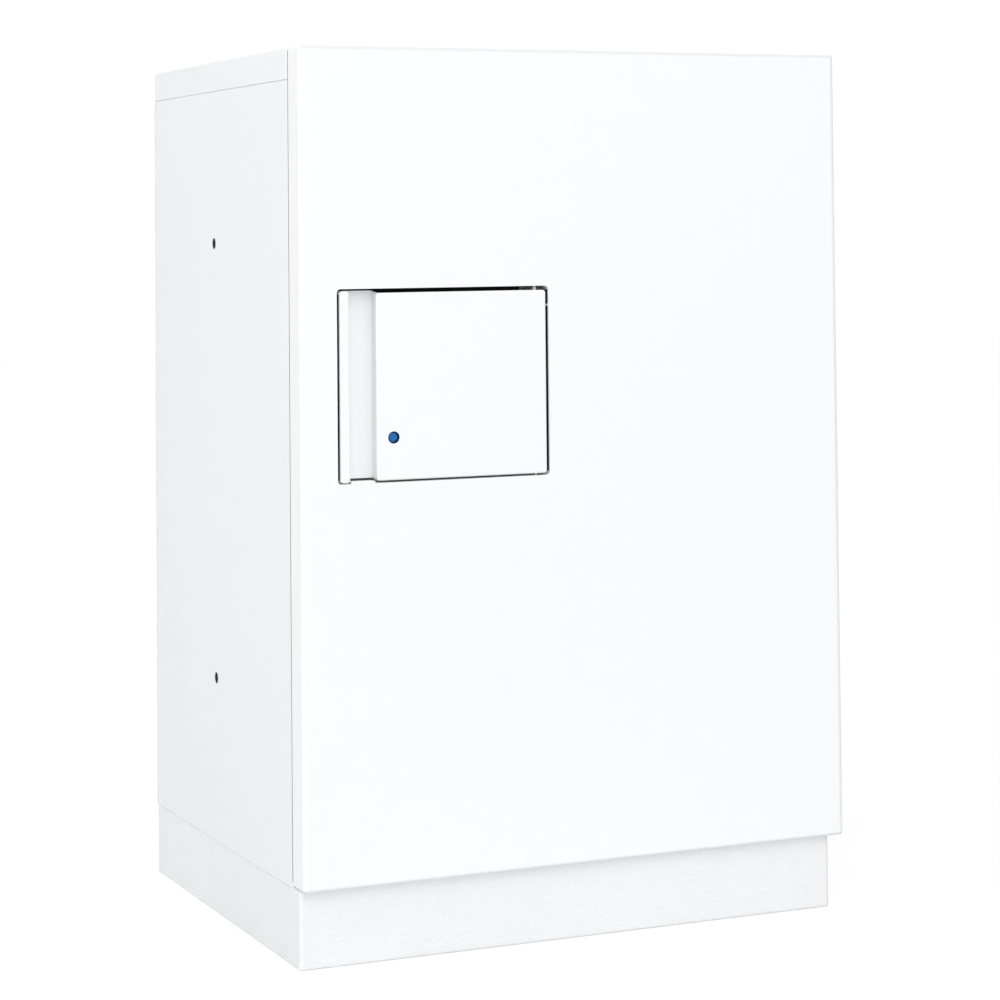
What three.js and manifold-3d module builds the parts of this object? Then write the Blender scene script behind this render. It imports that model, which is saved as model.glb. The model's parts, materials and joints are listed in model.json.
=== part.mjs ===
// Free-standing phone charging kiosk: a folded sheet-steel cabinet on a plinth, with a full
// overlay service door and, in a cut-out of that door, a small user door in front of one
// charging compartment. Millimetres, +Z up, origin on the floor under the middle of the
// cabinet, the front faces -Y.
import * as THREE from 'three';
import { mergeVertices } from 'three/addons/utils/BufferGeometryUtils.js';
import Module from 'manifold-3d';

const wasm = await Module();
wasm.setup();

// ---------------------------------------------------------------- driving dimensions
const WIDTH = 600; // over the side panels
const HEIGHT = 900; // floor to top
const DEPTH = 500; // front of the service door to the rear
const SHEET = 1.5; // folded sheet
const FIT = 0.3; // gap between pieces that sit on each other
const RUN = 0.06; // running clearance
const OVERCUT = 1; // how far a cutter passes the faces it cuts

const PLINTH_HEIGHT = 75;
const SKIRT = 32; // depth of the top cap's skirt
const BEND = 2.6; // outside radius of the cabinet's vertical folds

const DOOR_THICK = 33;
const DOOR_GAP = 2.5; // between the service door and the cabinet
const DOOR_LIFT = 1.5; // between the service door and the plinth

// The opening for the user door in the service door.
const CUT = { left: -262, right: -35, bottom: 469.5, top: 660.5, radius: 4 };
const SHELF_TOP = 472.2;

// ---------------------------------------------------------------- derived planes
const LEFT = -WIDTH / 2;
const RIGHT = WIDTH / 2;
const FRONT = -DEPTH / 2;
const REAR = DEPTH / 2;
const DOOR_REAR = FRONT + DOOR_THICK;
const DOOR_BOTTOM = PLINTH_HEIGHT + DOOR_LIFT;
const BEHIND_SKIN = FRONT + SHEET + FIT; // front of pieces lying on the back of a door's face
const LINER_FRONT = DOOR_REAR - SHEET - FIT - SHEET;
const BODY_FRONT = DOOR_REAR + DOOR_GAP;
const BODY_BOTTOM = PLINTH_HEIGHT + FIT;
const SKIRT_BOTTOM = HEIGHT - SKIRT;
const SIDE_TOP = SKIRT_BOTTOM - FIT;
const CABINET_X = [LEFT, RIGHT];

// ---------------------------------------------------------------- spans and outlines
// A span is a [low, high] pair along one axis.
const around = (centre, half) => [centre - half, centre + half];
const run = (start, length) => [start, start + length];
const grow = ([low, high], by) => [low - by, high + by];
const shrink = ([low, high], by) => [low + by, high - by];
// The span of a cutter through a wall that starts at the given plane.
const through = (start, thickness = SHEET) => grow(run(start, thickness), OVERCUT);
// Mirrors a span about zero for side -1 and keeps it for side 1.
const onSide = (side, [low, high]) => (side < 0 ? [-high, -low] : [low, high]);

function circle(u, v, radius, sides = 16) {
  return Array.from({ length: sides }, (_, i) => {
    const angle = (i / sides) * 2 * Math.PI;
    return [u + radius * Math.cos(angle), v + radius * Math.sin(angle)];
  });
}

function quarterArc(u, v, radius, startDegrees, steps) {
  return Array.from({ length: steps + 1 }, (_, i) => {
    const angle = ((startDegrees + (90 * i) / steps) * Math.PI) / 180;
    return [u + radius * Math.cos(angle), v + radius * Math.sin(angle)];
  });
}

// A rectangle with rounded corners.
function rounded(spanU, spanV, radius, steps = 3) {
  const [u0, u1] = shrink(spanU, radius);
  const [v0, v1] = shrink(spanV, radius);
  return [
    ...quarterArc(u1, v0, radius, -90, steps),
    ...quarterArc(u1, v1, radius, 0, steps),
    ...quarterArc(u0, v1, radius, 90, steps),
    ...quarterArc(u0, v0, radius, 180, steps),
  ];
}

// A slot with round ends; the small reduction keeps its corner points apart.
function slot(spanU, spanV) {
  const narrow = Math.min(spanU[1] - spanU[0], spanV[1] - spanV[0]);
  return rounded(spanU, spanV, narrow / 2 - 0.01);
}

// The outline of the user door's opening, grown on all sides.
function openingOutline(by = 0, radius = CUT.radius + by) {
  return rounded(grow([CUT.left, CUT.right], by), grow([CUT.bottom, CUT.top], by), radius);
}

// ---------------------------------------------------------------- solids
// Turn an extrusion along +Z so that its outline lies across the named axis.
const turned = {
  x: new THREE.Matrix4().set(0, 0, 1, 0, 1, 0, 0, 0, 0, 1, 0, 0, 0, 0, 0, 1),
  y: new THREE.Matrix4().set(1, 0, 0, 0, 0, 0, -1, 0, 0, 1, 0, 0, 0, 0, 0, 1),
  z: new THREE.Matrix4(),
};

const toShape = (outline) => new THREE.Shape(outline.map(([u, v]) => new THREE.Vector2(u, v)));

function toSolid(geometry) {
  geometry.deleteAttribute('normal');
  geometry.deleteAttribute('uv');
  const merged = mergeVertices(geometry, 1e-4);
  return new wasm.Manifold(
    new wasm.Mesh({
      numProp: 3,
      vertProperties: new Float32Array(merged.attributes.position.array),
      triVerts: new Uint32Array(merged.index.array),
    }),
  );
}

// A straight prism. Its outline is given in the two directions across the axis, in X, Y, Z
// order: (y, z) for an X prism, (x, z) for a Y prism and (x, y) for a Z prism. The edges of
// both ends can be rounded.
function prism(axis, outline, [from, to], round = 0, roundSteps = 3) {
  const geometry = new THREE.ExtrudeGeometry(toShape(outline), {
    depth: to - from - 2 * round,
    bevelEnabled: round > 0,
    bevelThickness: round,
    bevelSize: round,
    bevelOffset: -round,
    bevelSegments: roundSteps,
    curveSegments: 1,
  });
  geometry.translate(0, 0, round);
  geometry.applyMatrix4(turned[axis]);
  if (axis === 'x') geometry.translate(from, 0, 0);
  if (axis === 'y') geometry.translate(0, to, 0);
  if (axis === 'z') geometry.translate(0, 0, from);
  return toSolid(geometry);
}

const cylinder = (axis, [u, v], radius, span, sides) =>
  prism(axis, circle(u, v, radius, sides), span);

// A cutter for a bore whose flats, not its corners, lie at the radius.
const bore = (axis, centre, radius, span, sides = 16) =>
  cylinder(axis, centre, radius / Math.cos(Math.PI / sides), span, sides);

function box([x0, x1], [y0, y1], [z0, z1]) {
  const geometry = new THREE.BoxGeometry(x1 - x0, y1 - y0, z1 - z0);
  geometry.translate((x0 + x1) / 2, (y0 + y1) / 2, (z0 + z1) / 2);
  return toSolid(geometry);
}

// An eight-sided cable along a smooth curve through the points.
function cable(points, radius, steps) {
  const extrudePath = new THREE.CatmullRomCurve3(points.map((p) => new THREE.Vector3(...p)));
  const shape = toShape(circle(0, 0, radius, 8));
  return toSolid(
    new THREE.ExtrudeGeometry(shape, { extrudePath, steps, bevelEnabled: false, curveSegments: 1 }),
  );
}

const join = (first, ...rest) => rest.reduce((a, b) => a.add(b), first);
const cut = (first, ...rest) => rest.reduce((a, b) => a.subtract(b), first);

// ---------------------------------------------------------------- finishes and groups
const finish = {
  cabinetWhite: { color: 0xf2f3f5, roughness: 0.5, metalness: 0 },
  doorWhite: { color: 0xfbfcfe, roughness: 0.42, metalness: 0 },
  plinthWhite: { color: 0xeceded, roughness: 0.7, metalness: 0 },
  zinc: { color: 0xb9bcc0, roughness: 0.4, metalness: 0.85 },
  steel: { color: 0xd6d8da, roughness: 0.25, metalness: 1 },
  aluminium: { color: 0xc6c9cc, roughness: 0.35, metalness: 0.9 },
  brass: { color: 0xc9a85a, roughness: 0.3, metalness: 1 },
  darkPlastic: { color: 0x2a2c2f, roughness: 0.6, metalness: 0 },
  greyPlastic: { color: 0x8d9196, roughness: 0.6, metalness: 0 },
  nylon: { color: 0xe6e4dc, roughness: 0.5, metalness: 0 },
  rubber: { color: 0x1e1f21, roughness: 0.85, metalness: 0 },
  cable: { color: 0xe9eaec, roughness: 0.55, metalness: 0 },
  darkCable: { color: 0x222427, roughness: 0.6, metalness: 0 },
  board: { color: 0x1f5c3a, roughness: 0.5, metalness: 0 },
  blue: { color: 0x2b74b4, roughness: 0.2, metalness: 0 },
};

const kiosk = new THREE.Group();
const cabinet = new THREE.Group();
const serviceDoor = new THREE.Group();
const userDoor = new THREE.Group();
kiosk.add(cabinet, serviceDoor);
serviceDoor.add(userDoor);

function toGeometry(solid) {
  const { vertProperties, triVerts } = solid.getMesh();
  const geometry = new THREE.BufferGeometry();
  const position = new THREE.BufferAttribute(new Float32Array(vertProperties), 3);
  geometry.setAttribute('position', position);
  geometry.setIndex(new THREE.BufferAttribute(new Uint32Array(triVerts), 1));
  geometry.computeVertexNormals();
  return geometry;
}

function add(group, name, look, solid) {
  const mesh = new THREE.Mesh(toGeometry(solid), new THREE.MeshStandardMaterial(finish[look]));
  mesh.name = name;
  group.add(mesh);
}

// ---------------------------------------------------------------- plinth and base
const PLINTH = { inset: 11, setback: 12, sheet: 2, flange: 25, corner: 4.2 };
const PLINTH_X = [LEFT, RIGHT - PLINTH.inset];
const PLINTH_Y = [FRONT + PLINTH.setback, REAR];
const BOLT_X = shrink(PLINTH_X, 14);
const BOLT_Y = [BODY_FRONT + 40, REAR - 60];
const BOLT_SPOTS = BOLT_Y.flatMap((y) => BOLT_X.map((x) => [x, y]));
const BOLT = { radius: 4, hole: 4.5, sides: 12, head: 7, headHeight: 5, reach: 9 };
const BASE_BOTTOM = BODY_BOTTOM + SHEET + FIT;

const boltHoles = (span, spots = BOLT_SPOTS) =>
  spots.map((spot) => cylinder('z', spot, BOLT.hole, span, BOLT.sides));

function plinth() {
  const { sheet, flange, corner } = PLINTH;
  const height = [0, PLINTH_HEIGHT];
  return cut(
    prism('z', rounded(PLINTH_X, PLINTH_Y, corner), height),
    box(shrink(PLINTH_X, sheet), shrink(PLINTH_Y, sheet), shrink(height, sheet)),
    box(shrink(PLINTH_X, flange), shrink(PLINTH_Y, flange), grow(height, OVERCUT)),
    ...boltHoles(through(PLINTH_HEIGHT - sheet, sheet)),
  );
}

// A tray with a round hole near its rear right corner.
function basePanel() {
  const x = shrink(CABINET_X, SHEET + FIT);
  const y = [BODY_FRONT + SHEET + FIT, REAR - 3.5];
  const rim = 20;
  return cut(
    prism('z', rounded(x, y, BEND - SHEET, 2), run(BASE_BOTTOM, rim)),
    box(shrink(x, SHEET), shrink(y, SHEET), [BASE_BOTTOM + SHEET, BASE_BOTTOM + rim + OVERCUT]),
    ...boltHoles(through(BASE_BOTTOM)),
    cylinder('z', [RIGHT - 80, REAR - 60], 20, through(BASE_BOTTOM)),
  );
}

function plinthBolt(spot) {
  const baseTop = BASE_BOTTOM + SHEET;
  return join(
    cylinder('z', spot, BOLT.radius, [PLINTH_HEIGHT - BOLT.reach, baseTop + 1], BOLT.sides),
    cylinder('z', spot, BOLT.head, run(baseTop + FIT, BOLT.headHeight), 6),
  );
}

add(cabinet, 'plinth', 'plinthWhite', plinth());
add(cabinet, 'base_panel', 'cabinetWhite', basePanel());
BOLT_SPOTS.forEach((spot, i) => add(cabinet, `plinth_bolt_${i + 1}`, 'zinc', plinthBolt(spot)));

// ---------------------------------------------------------------- side panels
const FLANGE = 25; // front flanges of the side panels
// Holes for bolting a second unit alongside.
const LINK = { y: 27.5, heights: [247, 706], radius: 6.5, sides: 24 };

// Service hinges: their axis, and the arms that reach from the cabinet into the door.
const HINGE = { x: RIGHT - 7, y: FRONT + 8, pinRadius: 2, socketLeft: 287 };
const HINGE_AXIS = [HINGE.x, HINGE.y];
const ARM = { half: 3.4, thick: 4, heights: { lower: 150, upper: 790 } };
const ARM_HEIGHTS = Object.values(ARM.heights);
const armSlotZ = (z) => grow(run(z, ARM.thick), 1);

// Hook of the service door's latch, and the slots it passes through.
const HOOK = { x: [-284, -281], y: DOOR_REAR - 17, z: 500, slotX: [-287, -278] };
const HOOK_AXIS = [HOOK.y, HOOK.z];

// Outline across a side panel, rounded at its two outer folds.
function sideOutline(side, inner, outer, [front, rear], radius) {
  const arc = (y, startDegrees) => quarterArc(outer - radius, y, radius, startDegrees, 4);
  const right = [
    [inner, front],
    ...arc(front + radius, -90),
    ...arc(rear - radius, 0),
    [inner, rear],
  ];
  return side > 0 ? right : right.map(([x, y]) => [-x, y]).reverse();
}

// A side panel is a pan, folded in on all four sides; side is -1 for the left, 1 for the right.
function sidePanel(side) {
  const inner = RIGHT - FLANGE;
  const y = [BODY_FRONT, REAR - SHEET - 0.2];
  const z = [BODY_BOTTOM, SIDE_TOP];
  const hollow = sideOutline(side, inner - 1, RIGHT - SHEET, shrink(y, SHEET), BEND - SHEET);
  const wallX = through(side < 0 ? LEFT : RIGHT - SHEET);
  const spots = BOLT_SPOTS.filter(([x]) => Math.sign(x) === side);
  return cut(
    prism('z', sideOutline(side, inner, RIGHT, y, BEND), z),
    prism('z', hollow, shrink(z, SHEET)),
    ...LINK.heights.map((height) =>
      cylinder('x', [LINK.y, height], LINK.radius, wallX, LINK.sides),
    ),
    ...boltHoles(through(BODY_BOTTOM), spots),
  );
}

function leftSidePanel() {
  const slotZ = [HOOK.z - 7, HOOK.z + 33];
  return cut(sidePanel(-1), box(HOOK.slotX, through(BODY_FRONT), slotZ));
}

function rightSidePanel() {
  const slotX = around(HINGE.x, ARM.half + 0.8);
  return cut(
    sidePanel(1),
    ...ARM_HEIGHTS.map((z) => box(slotX, through(BODY_FRONT), armSlotZ(z))),
  );
}

add(cabinet, 'left_side_panel', 'cabinetWhite', leftSidePanel());
add(cabinet, 'right_side_panel', 'cabinetWhite', rightSidePanel());

// ---------------------------------------------------------------- back, top and front rails
const VENT = { bottoms: [150, 720], rows: [0, 1, 2, 3], pitch: 14, height: 5, half: 45, x: 60 };
const INLET = { x: 230, z: 520, halfWidth: 14, halfHeight: 10 };
const RAIL = { lowerTop: 118, upperBottom: 826, lip: 20 };

// The mains inlet's hole in the back panel, made smaller by the inset.
function inletOutline(inset = 0) {
  const x = around(INLET.x, INLET.halfWidth - inset);
  const z = around(INLET.z, INLET.halfHeight - inset);
  return rounded(x, z, 2, 2);
}

function backPanel() {
  const wallY = through(REAR - SHEET);
  const ventSlot = (x, z) =>
    prism('y', slot(around(x, VENT.half), run(z, VENT.height)), wallY);
  const vents = VENT.bottoms.flatMap((bottom) =>
    VENT.rows.flatMap((row) =>
      [-VENT.x, VENT.x].map((x) => ventSlot(x, bottom + row * VENT.pitch)),
    ),
  );
  return cut(
    box(CABINET_X, [REAR - SHEET, REAR], [BODY_BOTTOM, SIDE_TOP]),
    ...vents,
    prism('y', inletOutline(), wallY),
  );
}

// A hollow lid with a narrow flange folded in under its skirt.
function topCap() {
  const y = [BODY_FRONT, REAR];
  const z = [SKIRT_BOTTOM, HEIGHT];
  const flange = 15;
  const edge = 1.5; // rounding of the top and bottom edges
  const inside = rounded(shrink(CABINET_X, SHEET), shrink(y, SHEET), BEND - SHEET, 4);
  return cut(
    prism('z', rounded(CABINET_X, y, BEND, 4), z, edge, 2),
    prism('z', inside, shrink(z, SHEET)),
    box(shrink(CABINET_X, flange), shrink(y, flange), through(SKIRT_BOTTOM)),
  );
}

// A face between the side panels' flanges, with a lip to the rear.
function frontRail(faceZ, lipZ) {
  const x = shrink(CABINET_X, FLANGE + FIT);
  return join(
    box(x, run(BODY_FRONT, SHEET), faceZ),
    box(x, run(BODY_FRONT, RAIL.lip), lipZ),
  );
}

const { lowerTop, upperBottom } = RAIL;
const lowerRail = frontRail([BODY_BOTTOM, lowerTop], [lowerTop - SHEET, lowerTop]);
const upperRail = frontRail([upperBottom, SIDE_TOP], run(upperBottom, SHEET));
add(cabinet, 'back_panel', 'cabinetWhite', backPanel());
add(cabinet, 'top_cap', 'cabinetWhite', topCap());
add(cabinet, 'lower_front_rail', 'cabinetWhite', lowerRail);
add(cabinet, 'upper_front_rail', 'cabinetWhite', upperRail);

// ---------------------------------------------------------------- service hinges, cabinet side
// An arm with a round eye at the hinge axis and a plate behind the side panel's flange.
function hingeArm(z) {
  const armZ = run(z, ARM.thick);
  const plateX = [277, RIGHT - SHEET - 0.7];
  const plateY = run(BODY_FRONT + SHEET + FIT, 3);
  return cut(
    join(
      box(around(HINGE.x, ARM.half), [HINGE.y, BODY_FRONT + SHEET + 2], armZ),
      cylinder('z', HINGE_AXIS, ARM.half, armZ),
      box(plateX, plateY, [z - 18, z + 22]),
    ),
    cylinder('z', HINGE_AXIS, HINGE.pinRadius + 0.15, grow(armZ, OVERCUT)),
  );
}

function hingePin(z) {
  return join(
    cylinder('z', HINGE_AXIS, HINGE.pinRadius, [z - 0.5, z + 21]),
    cylinder('z', HINGE_AXIS, 3.2, [z - 2, z - FIT]),
  );
}

for (const [place, z] of Object.entries(ARM.heights)) {
  add(cabinet, `hinge_arm_${place}`, 'zinc', hingeArm(z));
  add(cabinet, `hinge_pin_${place}`, 'steel', hingePin(z));
}

// ---------------------------------------------------------------- shelf and compartment
// Inside faces of the compartment; the tub stands on the shelf.
const TUB = { x: [-256, -41], bottom: SHELF_TOP + SHEET + FIT, top: 656, back: -12 };
const TUB_FRONT = BODY_FRONT + 1.3;
const GROMMET = { x: -150, z: 600, radius: 12, collar: 14.5, bore: 8, sides: 20 };
const GROMMET_AXIS = [GROMMET.x, GROMMET.z];

// An inverted tray with a round hole near its rear right corner.
function equipmentShelf() {
  const x = shrink(CABINET_X, SHEET + 2.5);
  const y = [-193, 240];
  const rim = 22;
  return cut(
    box(x, y, [SHELF_TOP - rim, SHELF_TOP]),
    box(grow(x, OVERCUT), shrink(y, SHEET), [SHELF_TOP - rim - OVERCUT, SHELF_TOP - SHEET]),
    cylinder('z', [180, 215], 14, through(SHELF_TOP - SHEET)),
  );
}

// An angle on the side panel, under the shelf.
function shelfBracket(side) {
  const outer = RIGHT - SHEET - FIT;
  const y = [-185, 225];
  const top = SHELF_TOP - SHEET - FIT;
  return join(
    box(onSide(side, [outer - 26, outer]), y, [top - SHEET, top]),
    box(onSide(side, [outer - SHEET, outer]), y, [SHELF_TOP - 40, top]),
  );
}

// An open-fronted box with a front flange, vent slots and a grommet hole in its back.
function compartmentTub() {
  const z = [TUB.bottom, TUB.top];
  const flangeX = [TUB.x[0] - 12, TUB.x[1] + 11];
  const backY = through(TUB.back);
  const vents = [-60, 60].flatMap((offset) =>
    [622, 632, 642].map((bottom) =>
      prism('y', slot(around(GROMMET.x + offset, 25), run(bottom, 4)), backY),
    ),
  );
  return cut(
    join(
      box(grow(TUB.x, SHEET), [TUB_FRONT, TUB.back + SHEET], grow(z, SHEET)),
      box(flangeX, run(TUB_FRONT, SHEET), grow(z, 9)),
    ),
    box(TUB.x, [TUB_FRONT - OVERCUT, TUB.back], z),
    cylinder('y', GROMMET_AXIS, GROMMET.radius + FIT, backY, GROMMET.sides),
    ...vents,
  );
}

// A tray with a deep front pocket and a shallow rear pocket, parted by a rib.
function phoneTray() {
  const x = shrink(TUB.x, 4);
  const y = [-206, -30];
  const rib = [-88, -82];
  const rim = 3;
  const bottom = TUB.bottom + FIT;
  const height = 12;
  const pocket = (pocketY) =>
    prism('z', rounded(shrink(x, rim), pocketY, 6), [bottom + 4, bottom + height + OVERCUT]);
  return cut(
    prism('z', rounded(x, y, 8), run(bottom, height)),
    pocket([y[0] + rim, rib[0]]),
    pocket([rib[1], y[1] - rim]),
  );
}

function cableGrommet() {
  const [front, rear] = [TUB.back - 2.2, TUB.back + 3.7];
  const ring = (radius, span) => cylinder('y', GROMMET_AXIS, radius, span, GROMMET.sides);
  return cut(
    join(
      ring(GROMMET.radius, [front, rear]),
      ring(GROMMET.collar, [front, TUB.back - FIT]),
      ring(GROMMET.collar, [TUB.back + SHEET + FIT, rear]),
    ),
    ring(GROMMET.bore, grow([front, rear], OVERCUT)),
  );
}

add(cabinet, 'equipment_shelf', 'cabinetWhite', equipmentShelf());
add(cabinet, 'shelf_bracket_left', 'zinc', shelfBracket(-1));
add(cabinet, 'shelf_bracket_right', 'zinc', shelfBracket(1));
add(cabinet, 'compartment_tub', 'cabinetWhite', compartmentTub());
add(cabinet, 'phone_tray', 'darkPlastic', phoneTray());
add(cabinet, 'cable_grommet', 'rubber', cableGrommet());

// ---------------------------------------------------------------- charging leads
// X of each lead at the charger, in the grommet and at its plug, and the half width and half
// thickness of the plug's tip.
const LEADS = {
  a: { charger: -180, grommet: GROMMET.x - 5, plug: -205, tip: [4.1, 1.2] },
  b: { charger: -160, grommet: GROMMET.x, plug: -150, tip: [3.3, 0.8] },
  c: { charger: -140, grommet: GROMMET.x + 5, plug: -95, tip: [3.4, 1.0] },
};
const PLUG = { y: -52, bottom: 518, top: 540, tipBottom: 511 };

// Runs from the charger through the grommet and hangs down in the compartment.
function chargingLead({ charger, grommet, plug }) {
  // x, y, z
  const path = [
    [charger, 28.4, 492],
    [charger, 14, 494],
    [(charger + grommet) / 2, 7, 530],
    [grommet, 5, 580],
    [grommet, -1, 598],
    [grommet, -11, GROMMET.z],
    [grommet, -22, 598],
    [(grommet + plug) / 2, -40, 588],
    [plug, PLUG.y, 562],
    [plug, PLUG.y, 545],
    [plug, PLUG.y, 538],
  ];
  const plugBody = rounded(around(plug, 5), around(PLUG.y, 3), 2, 2);
  return join(cable(path, 1.8, 30), prism('z', plugBody, [PLUG.bottom, PLUG.top]));
}

function plugTip({ plug, tip: [halfWidth, halfThick] }) {
  const outline = rounded(around(plug, halfWidth), around(PLUG.y, halfThick), halfThick * 0.9);
  return prism('z', outline, [PLUG.tipBottom, PLUG.bottom - 0.1]);
}

for (const [name, lead] of Object.entries(LEADS)) {
  add(cabinet, `charging_lead_${name}`, 'cable', chargingLead(lead));
  add(cabinet, `plug_tip_${name}`, 'steel', plugTip(lead));
}

// ---------------------------------------------------------------- electrical equipment
const DEVICE_BOTTOM = SHELF_TOP + FIT;
const CONTROLLER = { x: [40, 170], y: [-120, -30], wall: 2, split: 16, height: 30 };

function usbCharger() {
  return prism('z', rounded([-225, -95], [30, 130], 5), run(DEVICE_BOTTOM, 38));
}

// A hollow case with six vent slots in its top.
function powerSupply() {
  const x = [20, 180];
  const y = [60, 160];
  const z = run(DEVICE_BOTTOM, 40);
  return cut(
    box(x, y, z),
    box(shrink(x, SHEET), shrink(y, SHEET), shrink(z, SHEET)),
    ...[0, 1, 2, 3, 4, 5].map((i) =>
      prism('z', slot([50, 150], run(78 + i * 12, 4)), through(z[1] - SHEET)),
    ),
  );
}

// From the power supply to the charger; columns are x, y, z.
function chargerSupplyLead() {
  const path = [
    [18.8, 110, 492],
    [0, 108, 484],
    [-40, 100, 477.5],
    [-75, 100, 484],
    [-93.6, 100, 492],
  ];
  return cable(path, 2.5, 16);
}

// A socket body in the back panel's hole, with a flange inside the cabinet.
function mainsInlet() {
  const flangeRear = REAR - SHEET - FIT;
  return cut(
    join(
      box(around(INLET.x, 22), [flangeRear - 3, flangeRear], around(INLET.z, 16)),
      prism('y', inletOutline(0.5), [REAR - 24, REAR - 0.4]),
    ),
    prism('y', inletOutline(2.5), [REAR - 18, REAR + OVERCUT]),
  );
}

// From the inlet to the power supply; columns are x, y, z.
function mainsLead() {
  const path = [
    [INLET.x, REAR - 25.4, INLET.z],
    [INLET.x, 205, 516],
    [220, 160, 494],
    [200, 130, 490],
    [181.6, 120, 492],
  ];
  return cable(path, 3.2, 16);
}

// The controller's outline in plan, outside or inside its wall.
const controllerOuter = () => rounded(CONTROLLER.x, CONTROLLER.y, 4);
const controllerInner = () =>
  rounded(shrink(CONTROLLER.x, CONTROLLER.wall), shrink(CONTROLLER.y, CONTROLLER.wall), 3);

function controllerBase() {
  const { wall, split } = CONTROLLER;
  return cut(
    prism('z', controllerOuter(), run(DEVICE_BOTTOM, split)),
    prism('z', controllerInner(), [DEVICE_BOTTOM + wall, DEVICE_BOTTOM + split + OVERCUT]),
  );
}

// A board with five blocks... four small ones and a long one are listed below it.
function controllerBoard() {
  const [left, right] = CONTROLLER.x;
  const [front, rear] = CONTROLLER.y;
  const boardX = shrink(CONTROLLER.x, 5);
  const boardY = shrink(CONTROLLER.y, 5);
  const block = (x, y, top) => box(x, y, [DEVICE_BOTTOM + 9, DEVICE_BOTTOM + top]);
  return join(
    box(boardX, boardY, run(DEVICE_BOTTOM + 8, 1.6)),
    block(run(left + 12, 18), run(front + 14, 14), 22),
    block(run(left + 36, 18), run(front + 14, 14), 22),
    block(run(left + 60, 14), run(front + 40, 14), 11.4),
    block([left + 10, right - 20], [rear - 18, rear - 9], 19),
  );
}

// A lid with five vent slots.
function controllerCover() {
  const { x, wall, split, height } = CONTROLLER;
  const ceiling = DEVICE_BOTTOM + height - wall;
  const open = DEVICE_BOTTOM + split;
  return cut(
    prism('z', controllerOuter(), [open + FIT, DEVICE_BOTTOM + height]),
    prism('z', controllerInner(), [open - OVERCUT, ceiling]),
    ...[0, 1, 2, 3, 4].map((i) =>
      prism('z', slot(run(x[0] + 25, 50), run(-90 + i * 8, 3)), through(ceiling, wall)),
    ),
  );
}

const doorBuffer = (z) => cylinder('y', [-270, z], 4, [DOOR_REAR + 0.3, BODY_FRONT - 0.2]);
const BUFFER_INSET = 6.5; // from the door's top and bottom edges

add(cabinet, 'usb_charger', 'darkPlastic', usbCharger());
add(cabinet, 'power_supply', 'aluminium', powerSupply());
add(cabinet, 'charger_supply_lead', 'darkCable', chargerSupplyLead());
add(cabinet, 'mains_inlet', 'darkPlastic', mainsInlet());
add(cabinet, 'mains_lead', 'darkCable', mainsLead());
add(cabinet, 'controller_base', 'greyPlastic', controllerBase());
add(cabinet, 'controller_board', 'board', controllerBoard());
add(cabinet, 'controller_cover', 'greyPlastic', controllerCover());
add(cabinet, 'door_buffer_upper', 'rubber', doorBuffer(HEIGHT - BUFFER_INSET));
add(cabinet, 'door_buffer_lower', 'rubber', doorBuffer(DOOR_BOTTOM + BUFFER_INSET));

// ---------------------------------------------------------------- service door
const DOOR_EDGE = 3; // outside radius of the folded door edges
const DOOR_LIP = 12;
const DOOR_Z = [DOOR_BOTTOM, HEIGHT];
const LOCK = { y: -239, z: 565 }; // axis of the lock's bolt
const USER_DEPTH = 19;
const PIVOT = { x: -48, y: FRONT + 6.5, pinRadius: 1.5 }; // axis of the user door
const PIVOT_AXIS = [PIVOT.x, PIVOT.y];

// An opening for the lock's bolt through a wall across X.
const boltWindow = (wallX) => box(wallX, around(LOCK.y, 3.6), around(LOCK.z, 5.6));

// A pan folded in at the rear. Its block is made too deep and cut off, so that only its
// front edges are rounded.
function serviceDoorSkin() {
  const outline = rounded(CABINET_X, DOOR_Z, DOOR_EDGE + 0.3, 2);
  const armSlotX = [RIGHT - DOOR_LIP - 2, RIGHT + OVERCUT];
  const armSlotY = [FRONT + DOOR_EDGE, DOOR_REAR + OVERCUT];
  return cut(
    prism('y', outline, [FRONT, DOOR_REAR + 10], DOOR_EDGE, 3),
    box(grow(CABINET_X, OVERCUT), run(DOOR_REAR, 20), grow(DOOR_Z, OVERCUT)),
    box(shrink(CABINET_X, SHEET), shrink([FRONT, DOOR_REAR], SHEET), shrink(DOOR_Z, SHEET)),
    box(shrink(CABINET_X, DOOR_LIP), through(DOOR_REAR - SHEET), shrink(DOOR_Z, DOOR_LIP)),
    prism('y', openingOutline(), through(FRONT)),
    ...ARM_HEIGHTS.map((z) => box(armSlotX, armSlotY, armSlotZ(z))),
  );
}

// The sheet inside the door's rear lips.
function serviceDoorLiner() {
  const x = [LEFT + SHEET + FIT, HINGE.socketLeft];
  return cut(
    box(x, run(LINER_FRONT, SHEET), shrink(DOOR_Z, SHEET + FIT)),
    prism('y', openingOutline(SHEET + FIT), through(LINER_FRONT)),
    box(HOOK.slotX, through(LINER_FRONT), [HOOK.z - 8, HOOK.z + 42]),
  );
}

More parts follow.
